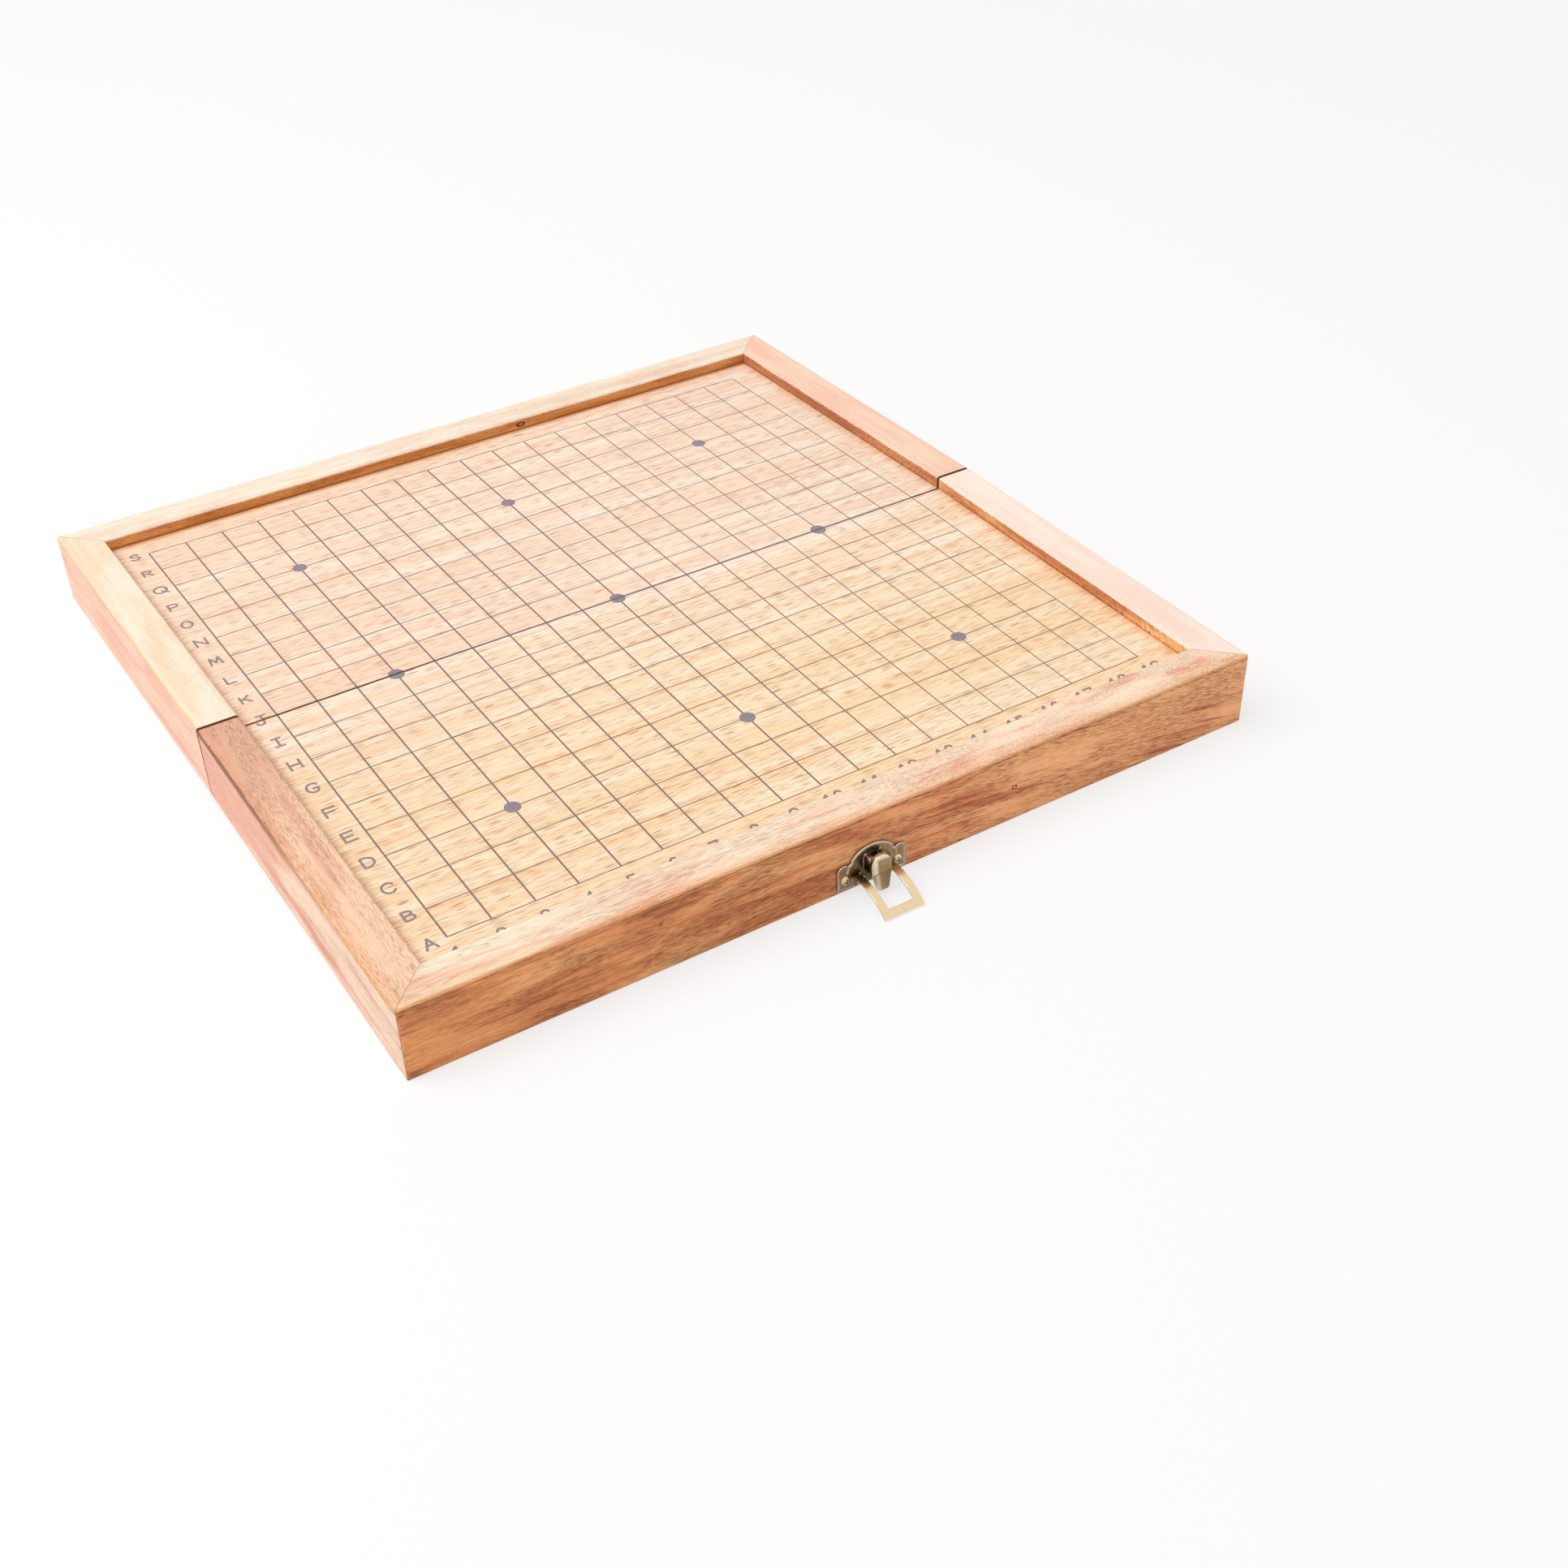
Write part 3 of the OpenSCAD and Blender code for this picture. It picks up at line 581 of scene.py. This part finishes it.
# Panel veneer: grain across the board, with broad pink or golden bands, fine streaks and short pores
panelTones = {
    "back": {
        "seed": 11.0, "stain": 0.85, "seamTint": (1.0, 1.0, 1.0), "rightTint": (1.01, 1.055, 1.09),
        "pale": (0.94, 0.76, 0.595), "warm": (0.93, 0.67, 0.49),
        "band": (0.84, 0.49, 0.40), "streak": (0.79, 0.48, 0.35), "poreTint": (0.72, 0.52, 0.44),
    },
    "front": {
        "seed": 12.0, "stain": 0.3, "seamTint": (1.0, 1.03, 1.16), "rightTint": (1.025, 1.06, 1.065),
        "pale": (0.945, 0.755, 0.545), "warm": (0.93, 0.66, 0.415),
        "band": (0.87, 0.50, 0.31), "streak": (0.85, 0.505, 0.265), "poreTint": (0.68, 0.46, 0.31),
    },
}
panelLook = {
    "layers": {                          # waves per metre along and across the grain, detail, roughness
        "bands": (1.6, 120.0, 3.0, 0.6),
        "pink": (6.0, 560.0, 2.0, 0.5),
        "streaks": (22.0, 1500.0, 2.0, 0.6),
        "fibres": (80.0, 4600.0, 2.0, 0.6),
        "pores": (120.0, 2500.0, 0.0, 0.5),
        "field": (7.0, 160.0, 2.0, 0.5),
        "comb": (45.0, 1100.0, 1.0, 0.5),
    },
    "apart": 2.3,                        # metres of grain between one panel's veneer and the other's
    "planeStep": 4.0,                    # between the planes in which those noises are taken
    "wander": 0.007,                     # how far the grain strays
    "wanderWaves": (2.0, 6.0),
    "ripple": 0.0008,                    # its small waves
    "rippleWaves": (18.0, 90.0),
    "seamFrom": (0.015, 0.085),          # from the seam, where its tint ends
    # where the painted light towards the right end begins
    "rightFrom": (-0.14, 0.0),
    "roughness": 0.48,
    "grainDepth": 0.00006,
    "stainColour": (0.78, 0.37, 0.12),   # painted reflection of the rails' warm colour on the panel beside them
    "stainWidth": 0.0042,
    "stainFray": (0.012, 0.003),         # along the side rails, and along the long one
    "seamColour": (0.42, 0.20, 0.07),    # its sawn edge at the seam
    "plyColour": (0.62, 0.36, 0.16),     # and the paler layers in that edge
    "seamInk": (0.72, 0.58, 0.61),       # and where the middle line is printed over its corner, painted paler as painted light against the seam gap's shade,
    "seamDark": (0.36, 0.27, 0.24),      # darker at the left end
    "seamFade": (-0.13, -0.05),
    "seamReach": 0.00023,
    "inkDrop": (0.0012, 0.0009),         # how far that ink runs down the edge
    "plyStep": 0.0007,                   # half of a pair of layers
}


def veneer(f, tone, p):
    x, depth, height = f.place()
    along = x + p["apart"] * tone["seed"]
    stray, wave = (
        f.noise(along * wavesAlong, depth * wavesAcross, tone["seed"]) - 0.5
        for wavesAlong, wavesAcross in (p["wanderWaves"], p["rippleWaves"])
    )
    side = depth + stray * p["wander"] + wave * p["ripple"]

    def layer(i, kind):
        # one noise of the grain, each in a plane of its own
        wavesAlong, wavesAcross, detail, rough = p["layers"][kind]
        return f.noise(along * wavesAlong, side * wavesAcross, p["planeStep"] * i, detail, rough)

    bands, pink, streaks, fibres, pores, field, comb = (
        layer(i, kind) for i, kind in enumerate(p["layers"])
    )
    colour = f.mix(bands.rise(0.40, 0.60), tone["pale"], tone["warm"])
    colour = f.mix(pink.rise(0.54, 0.68) * 0.65, colour, tone["band"])
    colour = f.mix(streaks.rise(0.50, 0.68) * 0.45, colour, tone["streak"])
    colour = f.mix(1 - depth.rise(*p["seamFrom"]), colour, tone["seamTint"], "MULTIPLY")
    # painted light: the veneer is paler towards the right end, against the falloff of the lamp at the left
    colour = f.mix(x.rise(*p["rightFrom"]), colour, tone["rightTint"], "MULTIPLY")
    colour = f.shade(colour, 1.0 + (fibres - 0.5) * 0.5)
    pore = pores.rise(0.60, 0.70) * field.rise(0.28, 0.52)
    colour = f.mix(pore, colour, tone["poreTint"], "MULTIPLY")
    # painted reflection: the rails' warm colour thrown onto the panel along them, ragged
    inside = board["halfWidth"] - board["railWidth"] - abs(x)
    outside = board["halfDepth"] - board["railWidth"] - depth
    sideFray, longFray = ((comb - 0.5) * reach for reach in p["stainFray"])
    stain = (1 - (inside + sideFray).rise(-0.001, p["stainWidth"])) * 0.6
    stain = stain.most((1 - (outside + longFray).rise(0.0002, p["stainWidth"])) * tone["stain"])
    colour = f.mix(stain, colour, p["stainColour"])
    # the sawn edge at the seam: ply layers, and the ink of the middle line over its corner, painted paler as
    # painted light against the shade in the gap
    sawn = 1 - depth.rise(p["seamReach"], 1.2 * p["seamReach"])
    outer = board["halfLines"] * board["columnPitch"]
    printed = 1 - abs(x).rise(outer, outer + 0.0005)
    printed = printed * height.rise(*(board["face"] - drop for drop in p["inkDrop"]))
    ply = height.maths("PINGPONG", height, p["plyStep"]).rise(0.00025, 0.00035)
    bare = f.mix(ply * 0.6, p["seamColour"], p["plyColour"])
    ink = f.mix(x.rise(*p["seamFade"]), p["seamDark"], p["seamInk"])
    colour = f.mix(sawn, colour, f.mix(printed, bare, ink))
    return colour, fibres, pore, (x, depth, height)


def panelVeneer(half, p):
    f = Finish(half + "PanelVeneer")
    colour, fibres, pore, _ = veneer(f, panelTones[half], p)
    return f.finish(
        BaseColor=colour,
        Roughness=p["roughness"] + (fibres - 0.5) * 0.12,
        SpecularIORLevel=0.28,
        Normal=f.bump(fibres * 0.5 - pore, p["grainDepth"]),
    )


for half in panelTones:
    dress(panelVeneer(half, panelLook), half + "_panel")
print("panels: veneered")

# Ink: grey violet print that lets a little of the veneer through; the star points are paler and bluer
inkLook = {
    "line": (0.160, 0.118, 0.122),
    "star": (0.180, 0.168, 0.238),
    "letter": (0.205, 0.175, 0.205),
    "cover": 0.94,
    "speckWaves": 2600.0,        # per metre
    "speckShare": 0.34,
    "thinning": 0.14,            # of a column, as a share of its width
    "thinFrom": (-0.02, 0.10),
    "soft": 0.00006,             # edge of a column
    "starSoft": 0.0002,
    "roughness": 0.55,
}


def gridInk(half, kind, p):
    f = Finish(half + kind.capitalize() + "Ink")
    wood, _, pore, (x, depth, _) = veneer(f, panelTones[half], panelLook)
    colour = p[kind]
    if kind == "line":
        # the star points stand on every sixth line from the middle
        column = abs(x).least(abs(abs(x) - board["starStep"] * board["columnPitch"]))
        row = depth.least(abs(depth - board["starStep"] * board["rowPitch"]))
        reach = column.maths("SQRT", column * column + row * row)
        star = 1 - reach.rise(board["starRadius"], board["starRadius"] + p["starSoft"])
        colour = f.mix(star, p["line"], p["star"])
    speck = f.noise(x * p["speckWaves"], depth * p["speckWaves"], 2.0, 2.0)
    cover = p["cover"] - speck.rise(0.54, 0.70) * p["speckShare"] - pore * 0.2
    if kind == "line":
        # the columns were printed thinner towards the right
        column = abs(x).maths("PINGPONG", abs(x), board["columnPitch"] / 2)
        row = depth.maths("PINGPONG", depth, board["rowPitch"] / 2)
        thin = (0.5 - x.rise(*p["thinFrom"]) * p["thinning"]) * board["columnLine"]
        bare = row.rise(0.5 * board["rowLine"], 0.55 * board["rowLine"])
        bare = (column - thin).rise(0.0, p["soft"]) * bare
        cover = cover * (1 - bare * (1 - star))
    return f.finish(BaseColor=f.mix(cover, wood, colour), Roughness=p["roughness"], SpecularIORLevel=0.3)


for half in panelTones:
    dress(gridInk(half, "line", inkLook), half + "_grid")
print("grids: inked")

# Brass and steel: colours, how far the bright edges (wear and painted highlight) and dark hollows reach, and how
# patchy the tarnish is
metalLook = {
    "plate": {
        "ground": (0.41, 0.28, 0.14), "shade": (0.23, 0.14, 0.06), "worn": (0.80, 0.73, 0.63),
        "grime": (0.05, 0.028, 0.015), "roughness": 0.33, "edge": 0.0009, "hollow": 0.0011, "patch": 0.35,
    },
    "lever": {
        "ground": (0.52, 0.39, 0.22), "shade": (0.24, 0.15, 0.07), "worn": (0.95, 0.87, 0.72),
        "grime": (0.05, 0.028, 0.015), "roughness": 0.28, "edge": 0.0006, "hollow": 0.0009, "patch": 0.12,
    },
    "screw": {
        "ground": (0.74, 0.58, 0.36), "shade": (0.52, 0.37, 0.20), "worn": (0.92, 0.80, 0.60),
        "grime": (0.05, 0.028, 0.014), "roughness": 0.30, "edge": 0.0002, "hollow": 0.0008, "patch": 0.20,
    },
    "bail": {
        "ground": (0.84, 0.66, 0.40), "shade": (0.40, 0.25, 0.11), "worn": (0.96, 0.86, 0.66),
        "grime": (0.16, 0.09, 0.045), "roughness": 0.24, "edge": 0.0003, "hollow": 0.0009, "patch": 0.12,
    },
    "hinge": {
        "ground": (0.72, 0.52, 0.24), "shade": (0.50, 0.33, 0.13), "worn": (0.90, 0.74, 0.44),
        "grime": (0.16, 0.10, 0.04), "roughness": 0.30, "edge": 0.0003, "hollow": 0.0008, "patch": 0.25,
    },
    "steel": {
        "ground": (0.52, 0.51, 0.49), "shade": (0.36, 0.35, 0.34), "worn": (0.74, 0.73, 0.71),
        "grime": (0.10, 0.09, 0.085), "roughness": 0.32, "edge": 0.0002, "hollow": 0.0006, "patch": 0.20,
    },
}

# Noise of the tarnish and the fine grit, its depth, and how finely edges and hollows are sampled
metalGrain = {
    "tarnish": {"Scale": 700.0, "Detail": 4.0, "Roughness": 0.65},
    "grit": {"Scale": 3200.0, "Detail": 2.0},
    "depth": 0.00003,
    "edgeSamples": 6,
    "hollowSamples": 8,
}

# Places of the marks on the clasp, as heights above the underside and widths about its middle
claspMarks = {
    "middle": 0.002,
    "plateHeight": 0.010, "plateReach": (0.0085, 0.0105),
    "leverHalf": 0.0046,
    "capFrom": (0.0092, 0.0104),
    "capTop": (0.0176, 0.0004, 0.0014),     # a painted highlight line: middle, half width, softness
    "crease": (0.0098, 0.0002, 0.0005),     # painted shade: a dark line in the crease over the tongue
    "bailDull": (0.2065, 0.2125),           # from the seam
}


def plateMarks(f, colour, facing, p):
    # painted shade in the recess round the lever
    m = claspMarks
    x, _, height = f.place()
    x = (x - m["middle"]) * (1 / m["plateReach"][0])
    rise = (height - m["plateHeight"]) * (1 / m["plateReach"][1])
    near = 1 - x.maths("SQRT", x * x + rise * rise).rise(0.45, 1.0)
    return f.mix(near * 0.75, colour, p["grime"])


def leverMarks(f, colour, facing, p):
    # painted highlights along the cap's left and top and on the tongue's left; painted shade towards the tongue's
    # right, in a dark crease over the tongue and on the sides
    m = claspMarks
    x, _, height = f.place()
    x = (x - m["middle"]) * (1 / m["leverHalf"])
    cap = height.rise(*m["capFrom"])
    bright = (x.near(-0.62, 0.10, 0.30) * cap).most(height.near(*m["capTop"]))
    colour = f.mix(bright * 0.75, colour, p["worn"])
    colour = f.mix((1 - cap) * x.rise(-0.7, 0.7) * 0.65, colour, p["shade"])
    colour = f.mix((1 - cap) * x.near(-0.45, 0.08, 0.25) * 0.5, colour, p["worn"])
    colour = f.mix(height.near(*m["crease"]) * 0.6, colour, p["shade"])
    return f.mix(abs(facing).rise(0.45, 0.85) * 0.8, colour, p["grime"])


def bailMarks(f, colour, facing, p):
    # darker near the pivots
    _, depth, _ = f.place()
    return f.mix((1 - depth.rise(*claspMarks["bailDull"])) * 0.65, colour, p["grime"])


def metal(name, p, marks=None):
    f = Finish(name + "Metal")
    spot = f.node("ShaderNodeTexCoord", output="Object")
    grain = metalGrain
    tarnish, grit = (
        f.node("ShaderNodeTexNoise", None, {"Vector": spot, **grain[kind]}) for kind in ("tarnish", "grit")
    )
    # worn edges, painted bright partly as wear and partly as painted highlight: where a softened normal leaves the
    # true one
    soft = f.node("ShaderNodeBevel", {"samples": grain["edgeSamples"]}, {"Radius": p["edge"]})
    flat = f.node("ShaderNodeNewGeometry", output="True Normal")
    agree = f.node("ShaderNodeVectorMath", {"operation": "DOT_PRODUCT"}, (soft, flat), "Value")
    worn = (1 - agree).rise(0.01, 0.12)
    facing = f.node("ShaderNodeSeparateXYZ", None, [flat], "X")
    upward = f.node("ShaderNodeSeparateXYZ", None, [flat], "Z")
    local = {"samples": grain["hollowSamples"], "only_local": True}
    clear = f.node("ShaderNodeAmbientOcclusion", local, {"Distance": p["hollow"]}, "AO")
    # painted light and shade: faces turned up are paler and faces turned down darker, standing in for a surround
    # brighter overhead
    colour = f.mix(upward.rise(-0.6, 0.75), p["shade"], p["ground"])
    if marks:
        colour = marks(f, colour, facing, p)
    colour = f.mix(tarnish.rise(0.46, 0.70) * p["patch"], colour, p["grime"])
    colour = f.mix(worn * 0.85, colour, p["worn"])
    colour = f.mix((1 - clear.rise(0.30, 0.80)) * 0.9, colour, p["grime"])
    bump = f.bump(tarnish * 0.6 + grit * 0.4, grain["depth"], 0.5)
    f.feed(bump.socket.node.inputs["Normal"], soft)
    return f.finish(
        BaseColor=colour,
        Metallic=1.0,
        Roughness=p["roughness"] + (tarnish - 0.5) * 0.3,
        Normal=bump,
    )


dress(metal("plate", metalLook["plate"], plateMarks), "clasp_plate")
dress(metal("catch", metalLook["plate"]), "catch_plate")
dress(metal("lever", metalLook["lever"], leverMarks), "clasp_lever")
dress(metal("screw", metalLook["screw"]), "clasp_screws", "catch_screws")
dress(metal("bail", metalLook["bail"], bailMarks), "clasp_bail", "bail_rivets")
dress(
    metal("hinge", metalLook["hinge"]),
    *(f"{side}_hinge_{half}_leaf" for side in ("left", "right") for half in ("back", "front")),
)
dress(
    metal("steel", metalLook["steel"]),
    "left_hinge_pin", "right_hinge_pin", "lever_pin", "back_hinge_screws", "front_hinge_screws",
)
print("metal: clasp, bail, hinges and pins")

# Letters up the left edge and numbers along the front: strokes in a unit box, straight or curved
strokes = {
    "A": [("line", (0, 0), (0.5, 1), (1, 0)), ("line", (0.2, 0.36), (0.8, 0.36))],
    "B": [
        ("line", (0, 0), (0, 1)),
        ("curve", (0, 1), (0.55, 0.99), (0.86, 0.85), (0.84, 0.66), (0.5, 0.54), (0, 0.54)),
        ("curve", (0.4, 0.54), (0.85, 0.47), (1, 0.27), (0.84, 0.06), (0.5, 0), (0, 0)),
    ],
    "C": [(
        "curve", (1, 0.8), (0.8, 0.97), (0.5, 1), (0.14, 0.84), (0, 0.5), (0.14, 0.16), (0.5, 0),
        (0.82, 0.04), (1, 0.2),
    )],
    "D": [
        ("line", (0, 0), (0, 1)),
        ("curve", (0, 1), (0.5, 0.98), (0.9, 0.78), (1, 0.5), (0.9, 0.22), (0.5, 0.02), (0, 0)),
    ],
    "E": [("line", (1, 1), (0, 1), (0, 0), (1, 0)), ("line", (0, 0.52), (0.85, 0.52))],
    "F": [("line", (1, 1), (0, 1), (0, 0)), ("line", (0, 0.52), (0.85, 0.52))],
    "G": [
        (
            "curve", (0.98, 0.8), (0.8, 0.97), (0.5, 1), (0.14, 0.84), (0, 0.5), (0.14, 0.16), (0.5, 0),
            (0.86, 0.1), (1, 0.42),
        ),
        ("line", (1, 0.42), (0.56, 0.42)),
    ],
    "H": [("line", (0, 0), (0, 1)), ("line", (1, 0), (1, 1)), ("line", (0, 0.52), (1, 0.52))],
    "I": [("line", (0.5, 0), (0.5, 1)), ("line", (0.12, 1), (0.88, 1)), ("line", (0.12, 0), (0.88, 0))],
    "J": [("line", (0.25, 1), (1, 1)), ("stem", (0.66, 1), (0.66, 0.542))],
    "j": [
        ("stem", (0.66, 0.458), (0.66, 0.34)),
        ("curve", (0.66, 0.36), (0.65, 0.22), (0.54, 0.06), (0.3, 0), (0.07, 0.1), (0, 0.28)),
    ],
    "K": [("line", (0, 0), (0, 1)), ("line", (0.95, 1), (0.02, 0.44)), ("line", (0.36, 0.64), (1, 0))],
    "L": [("line", (0, 1), (0, 0), (0.92, 0))],
    "M": [("line", (0, 0), (0.14, 1), (0.5, 0.22), (0.86, 1), (1, 0))],
    "N": [("line", (0, 0), (0, 1), (1, 0), (1, 1))],
    "O": [("ring", (0.5, 0.5), (0.5, 0.5))],
    "P": [
        ("line", (0, 0), (0, 1)),
        ("curve", (0, 1), (0.6, 0.99), (0.95, 0.86), (0.95, 0.62), (0.6, 0.48), (0, 0.47)),
    ],
    "Q": [("ring", (0.5, 0.5), (0.5, 0.5)), ("line", (0.58, 0.32), (1.02, -0.08))],
    "R": [
        ("line", (0, 0), (0, 1)),
        ("curve", (0, 1), (0.6, 0.99), (0.95, 0.86), (0.95, 0.64), (0.6, 0.5), (0, 0.49)),
        ("line", (0.45, 0.49), (1, 0)),
    ],
    "S": [(
        "curve", (0.95, 0.82), (0.75, 0.98), (0.45, 1), (0.12, 0.88), (0.1, 0.67), (0.4, 0.54),
        (0.75, 0.45), (0.98, 0.28), (0.86, 0.07), (0.5, 0), (0.2, 0.02), (0, 0.18),
    )],
    "0": [("ring", (0.5, 0.5), (0.46, 0.5))],
    "1": [("line", (0.2, 0.78), (0.55, 1), (0.55, 0))],
    "2": [
        ("curve", (0.05, 0.75), (0.24, 0.97), (0.55, 1), (0.9, 0.84), (0.84, 0.58), (0.45, 0.28), (0, 0)),
        ("line", (0, 0), (1, 0)),
    ],
    "3": [
        ("curve", (0.04, 0.84), (0.38, 1), (0.8, 0.9), (0.82, 0.66), (0.4, 0.53)),
        ("curve", (0.4, 0.53), (0.9, 0.42), (0.95, 0.16), (0.6, 0), (0.25, 0.01), (0, 0.15)),
    ],
    "4": [("line", (0.74, 0), (0.74, 1), (0, 0.3), (1, 0.3))],
    "5": [
        ("line", (0.9, 1), (0.14, 1), (0.08, 0.56)),
        ("curve", (0.08, 0.56), (0.5, 0.65), (0.9, 0.52), (0.97, 0.27), (0.75, 0.04), (0.36, 0), (0, 0.14)),
    ],
    "6": [(
        "curve", (0.85, 0.93), (0.5, 1), (0.14, 0.75), (0.02, 0.35), (0.2, 0.05), (0.52, 0),
        (0.86, 0.1), (0.97, 0.32), (0.77, 0.55), (0.45, 0.57), (0.08, 0.4),
    )],
    "7": [("line", (0, 1), (1, 1), (0.36, 0))],
    "8": [("ring", (0.5, 0.77), (0.38, 0.23)), ("ring", (0.5, 0.27), (0.5, 0.27))],
    "9": [(
        "curve", (0.15, 0.07), (0.5, 0), (0.86, 0.25), (0.98, 0.65), (0.8, 0.95), (0.48, 1),
        (0.14, 0.9), (0.03, 0.68), (0.23, 0.45), (0.55, 0.43), (0.92, 0.6),
    )],
}
lettering = {
    "tall": 0.0062, "wide": 0.0048,       # of a letter, between stroke middles
    "stroke": 0.00104,
    "uneven": {                           # width and height of the letters that differ
        "S": (0.86, 0.90), "R": (0.82, 0.80), "Q": (1.22, 1.0), "P": (0.88, 0.88), "L": (0.82, 0.92),
        "K": (0.84, 0.84), "B": (0.86, 0.90), "A": (0.92, 0.97), "M": (1.08, 0.96), "N": (1.05, 1.0),
    },
    "thick": 0.00008,
    "sunk": 0.00003,
    "fromGrid": 0.0070,                   # letter middles, left of the outer column
    "numberTall": 0.0056, "numberWide": 0.0036, "numberGap": 0.0016,
    "numberFromGrid": 0.0095,             # number middles, in front of the outer row
    "perSpan": 8,                         # sections along each span of a curve
    "ringSections": 40,
    "capSections": 5,
    "layerStep": 2e-6, "layerCount": 12,  # strokes that cross lie this far apart in height
}


def strokePaths(glyph, p):
    # each stroke as an array of points, and the sections of its round ends: straight spans,
    # a stem with square ends, an ellipse, or a Catmull-Rom curve
    ends = p["capSections"]
    for kind, *points in strokes[glyph]:
        marks = np.array(points, float)
        if kind == "line":
            for start, end in zip(marks[:-1], marks[1:]):
                yield np.linspace(start, end, 4), ends
        elif kind == "stem":
            yield np.linspace(marks[0], marks[1], 4), 0
        elif kind == "ring":
            turn = np.linspace(0, 2 * math.pi, p["ringSections"])[:, None]
            yield marks[0] + marks[1] * np.concatenate([np.cos(turn), np.sin(turn)], axis=1), ends
        else:
            held = np.concatenate([2 * marks[:1] - marks[1:2], marks, 2 * marks[-1:] - marks[-2:-1]])
            a, b, c, d = (held[i:len(held) - 3 + i, None] for i in range(4))
            t = np.linspace(0, 1, p["perSpan"], endpoint=False)[None, :, None]
            square = (2 * a - 5 * b + 4 * c - d) * t**2
            cube = (3 * b - a - 3 * c + d) * t**3
            spans = 0.5 * (2 * b + (c - a) * t + square + cube)
            yield np.concatenate([spans.reshape(-1, 2), marks[-1:]]), ends


def inkRibbon(path, width, low, high, capSections):
    # a flat bar carried along the path, its half width falling as a circle does past both ends;
    # the last section stops just short of the tip
    ahead = np.gradient(path, axis=0)
    ahead /= np.linalg.norm(ahead, axis=1, keepdims=True)
    reach = np.sin(np.linspace(0, math.pi / 2, capSections + 1)[1:])[:, None] * 0.995
    middle = np.concatenate([
        path[0] - ahead[0] * reach[::-1] * width / 2, path, path[-1] + ahead[-1] * reach * width / 2,
    ])
    heading = np.concatenate([
        np.repeat(ahead[:1], capSections, 0), ahead, np.repeat(ahead[-1:], capSections, 0),
    ])
    cap = np.sqrt(1 - reach[:, 0] ** 2)
    half = np.concatenate([cap[::-1], np.ones(len(path)), cap]) * width / 2
    left = middle + np.stack([-heading[:, 1], heading[:, 0]], 1) * half[:, None]
    right = 2 * middle - left
    rows = np.stack([
        np.column_stack([right, np.full(len(middle), low)]),
        np.column_stack([right, np.full(len(middle), high)]),
        np.column_stack([left, np.full(len(middle), high)]),
        np.column_stack([left, np.full(len(middle), low)]),
    ], axis=1)
    count = len(middle)
    i, j = np.meshgrid(np.arange(count - 1), np.arange(4), indexing="ij")
    skin = np.stack([i * 4 + j, (i + 1) * 4 + j, (i + 1) * 4 + (j + 1) % 4, i * 4 + (j + 1) % 4], -1)
    ends = np.array([[0, 1, 2, 3], [4 * count - 1, 4 * count - 2, 4 * count - 3, 4 * count - 4]])
    return rows.reshape(-1, 3), np.concatenate([skin.reshape(-1, 4), ends])


def layOnHalf(points, half):
    # flat board coordinates carried onto a half that leans about the hinge line
    x, y, z = points.T
    up = z + hingeDrop
    turn = leanSin if half == "back" else -leanSin
    return np.column_stack([x, y * leanCos + up * turn, hingeZ - y * turn + up * leanCos])


def lettersPiece(name, half, marks, p):
    # marks: glyph, middle x, middle y, width and height; every stroke a hair above the one before
    corners, faces, first, layer = [], [], 0, 0
    for glyph, x, y, wide, tall in marks:
        for path, ends in strokePaths(glyph, p):
            spot = (path - 0.5) * (wide, tall) + (x, y)
            layer += 1
            high = board["face"] + p["thick"] + p["layerStep"] * (layer % p["layerCount"])
            points, quads = inkRibbon(spot, p["stroke"], board["face"] - p["sunk"], high, ends)
            corners.append(layOnHalf(points, half))
            faces.append(quads + first)
            first += len(points)
    mesh = bpy.data.meshes.new(name)
    mesh.from_pydata(np.concatenate(corners).tolist(), [], np.concatenate(faces).tolist())
    mesh.materials.append(letterInk[half])
    piece = bpy.data.objects.new(name, mesh)
    scene.collection.objects.link(piece)
    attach(piece, half)


def makeLettering(p):
    reach = board["halfLines"]
    letterX = -reach * board["columnPitch"] - p["fromGrid"]

    def letter(i, glyph):
        wide, tall = p["uneven"].get(glyph, (1.0, 1.0))
        return glyph, letterX, (i - reach) * board["rowPitch"], wide * p["wide"], tall * p["tall"]

    # the letter on the seam is printed half on each panel
    front = [letter(i, chr(ord("A") + i)) for i in range(reach)] + [letter(reach, "j")]
    back = [letter(reach, "J")] + [letter(i, chr(ord("A") + i)) for i in range(reach + 1, 2 * reach + 1)]
    numberY = -reach * board["rowPitch"] - p["numberFromGrid"]
    step = p["numberWide"] + p["numberGap"]
    numbers = []
    for i in range(2 * reach + 1):
        digits = str(i + 1)
        for k, digit in enumerate(digits):
            shift = (k - (len(digits) - 1) / 2) * step
            spot = (i - reach) * board["columnPitch"] + shift
            numbers.append((digit, spot, numberY, p["numberWide"], p["numberTall"]))
    lettersPiece("letters_back", "back", back, p)
    lettersPiece("letters_front", "front", front, p)
    lettersPiece("numbers_front", "front", numbers, p)
    print("lettering:", len(front) + len(back), "letters,", 2 * reach + 1, "numbers")


letterInk = {half: gridInk(half, "letter", inkLook) for half in panelTones}
makeLettering(lettering)
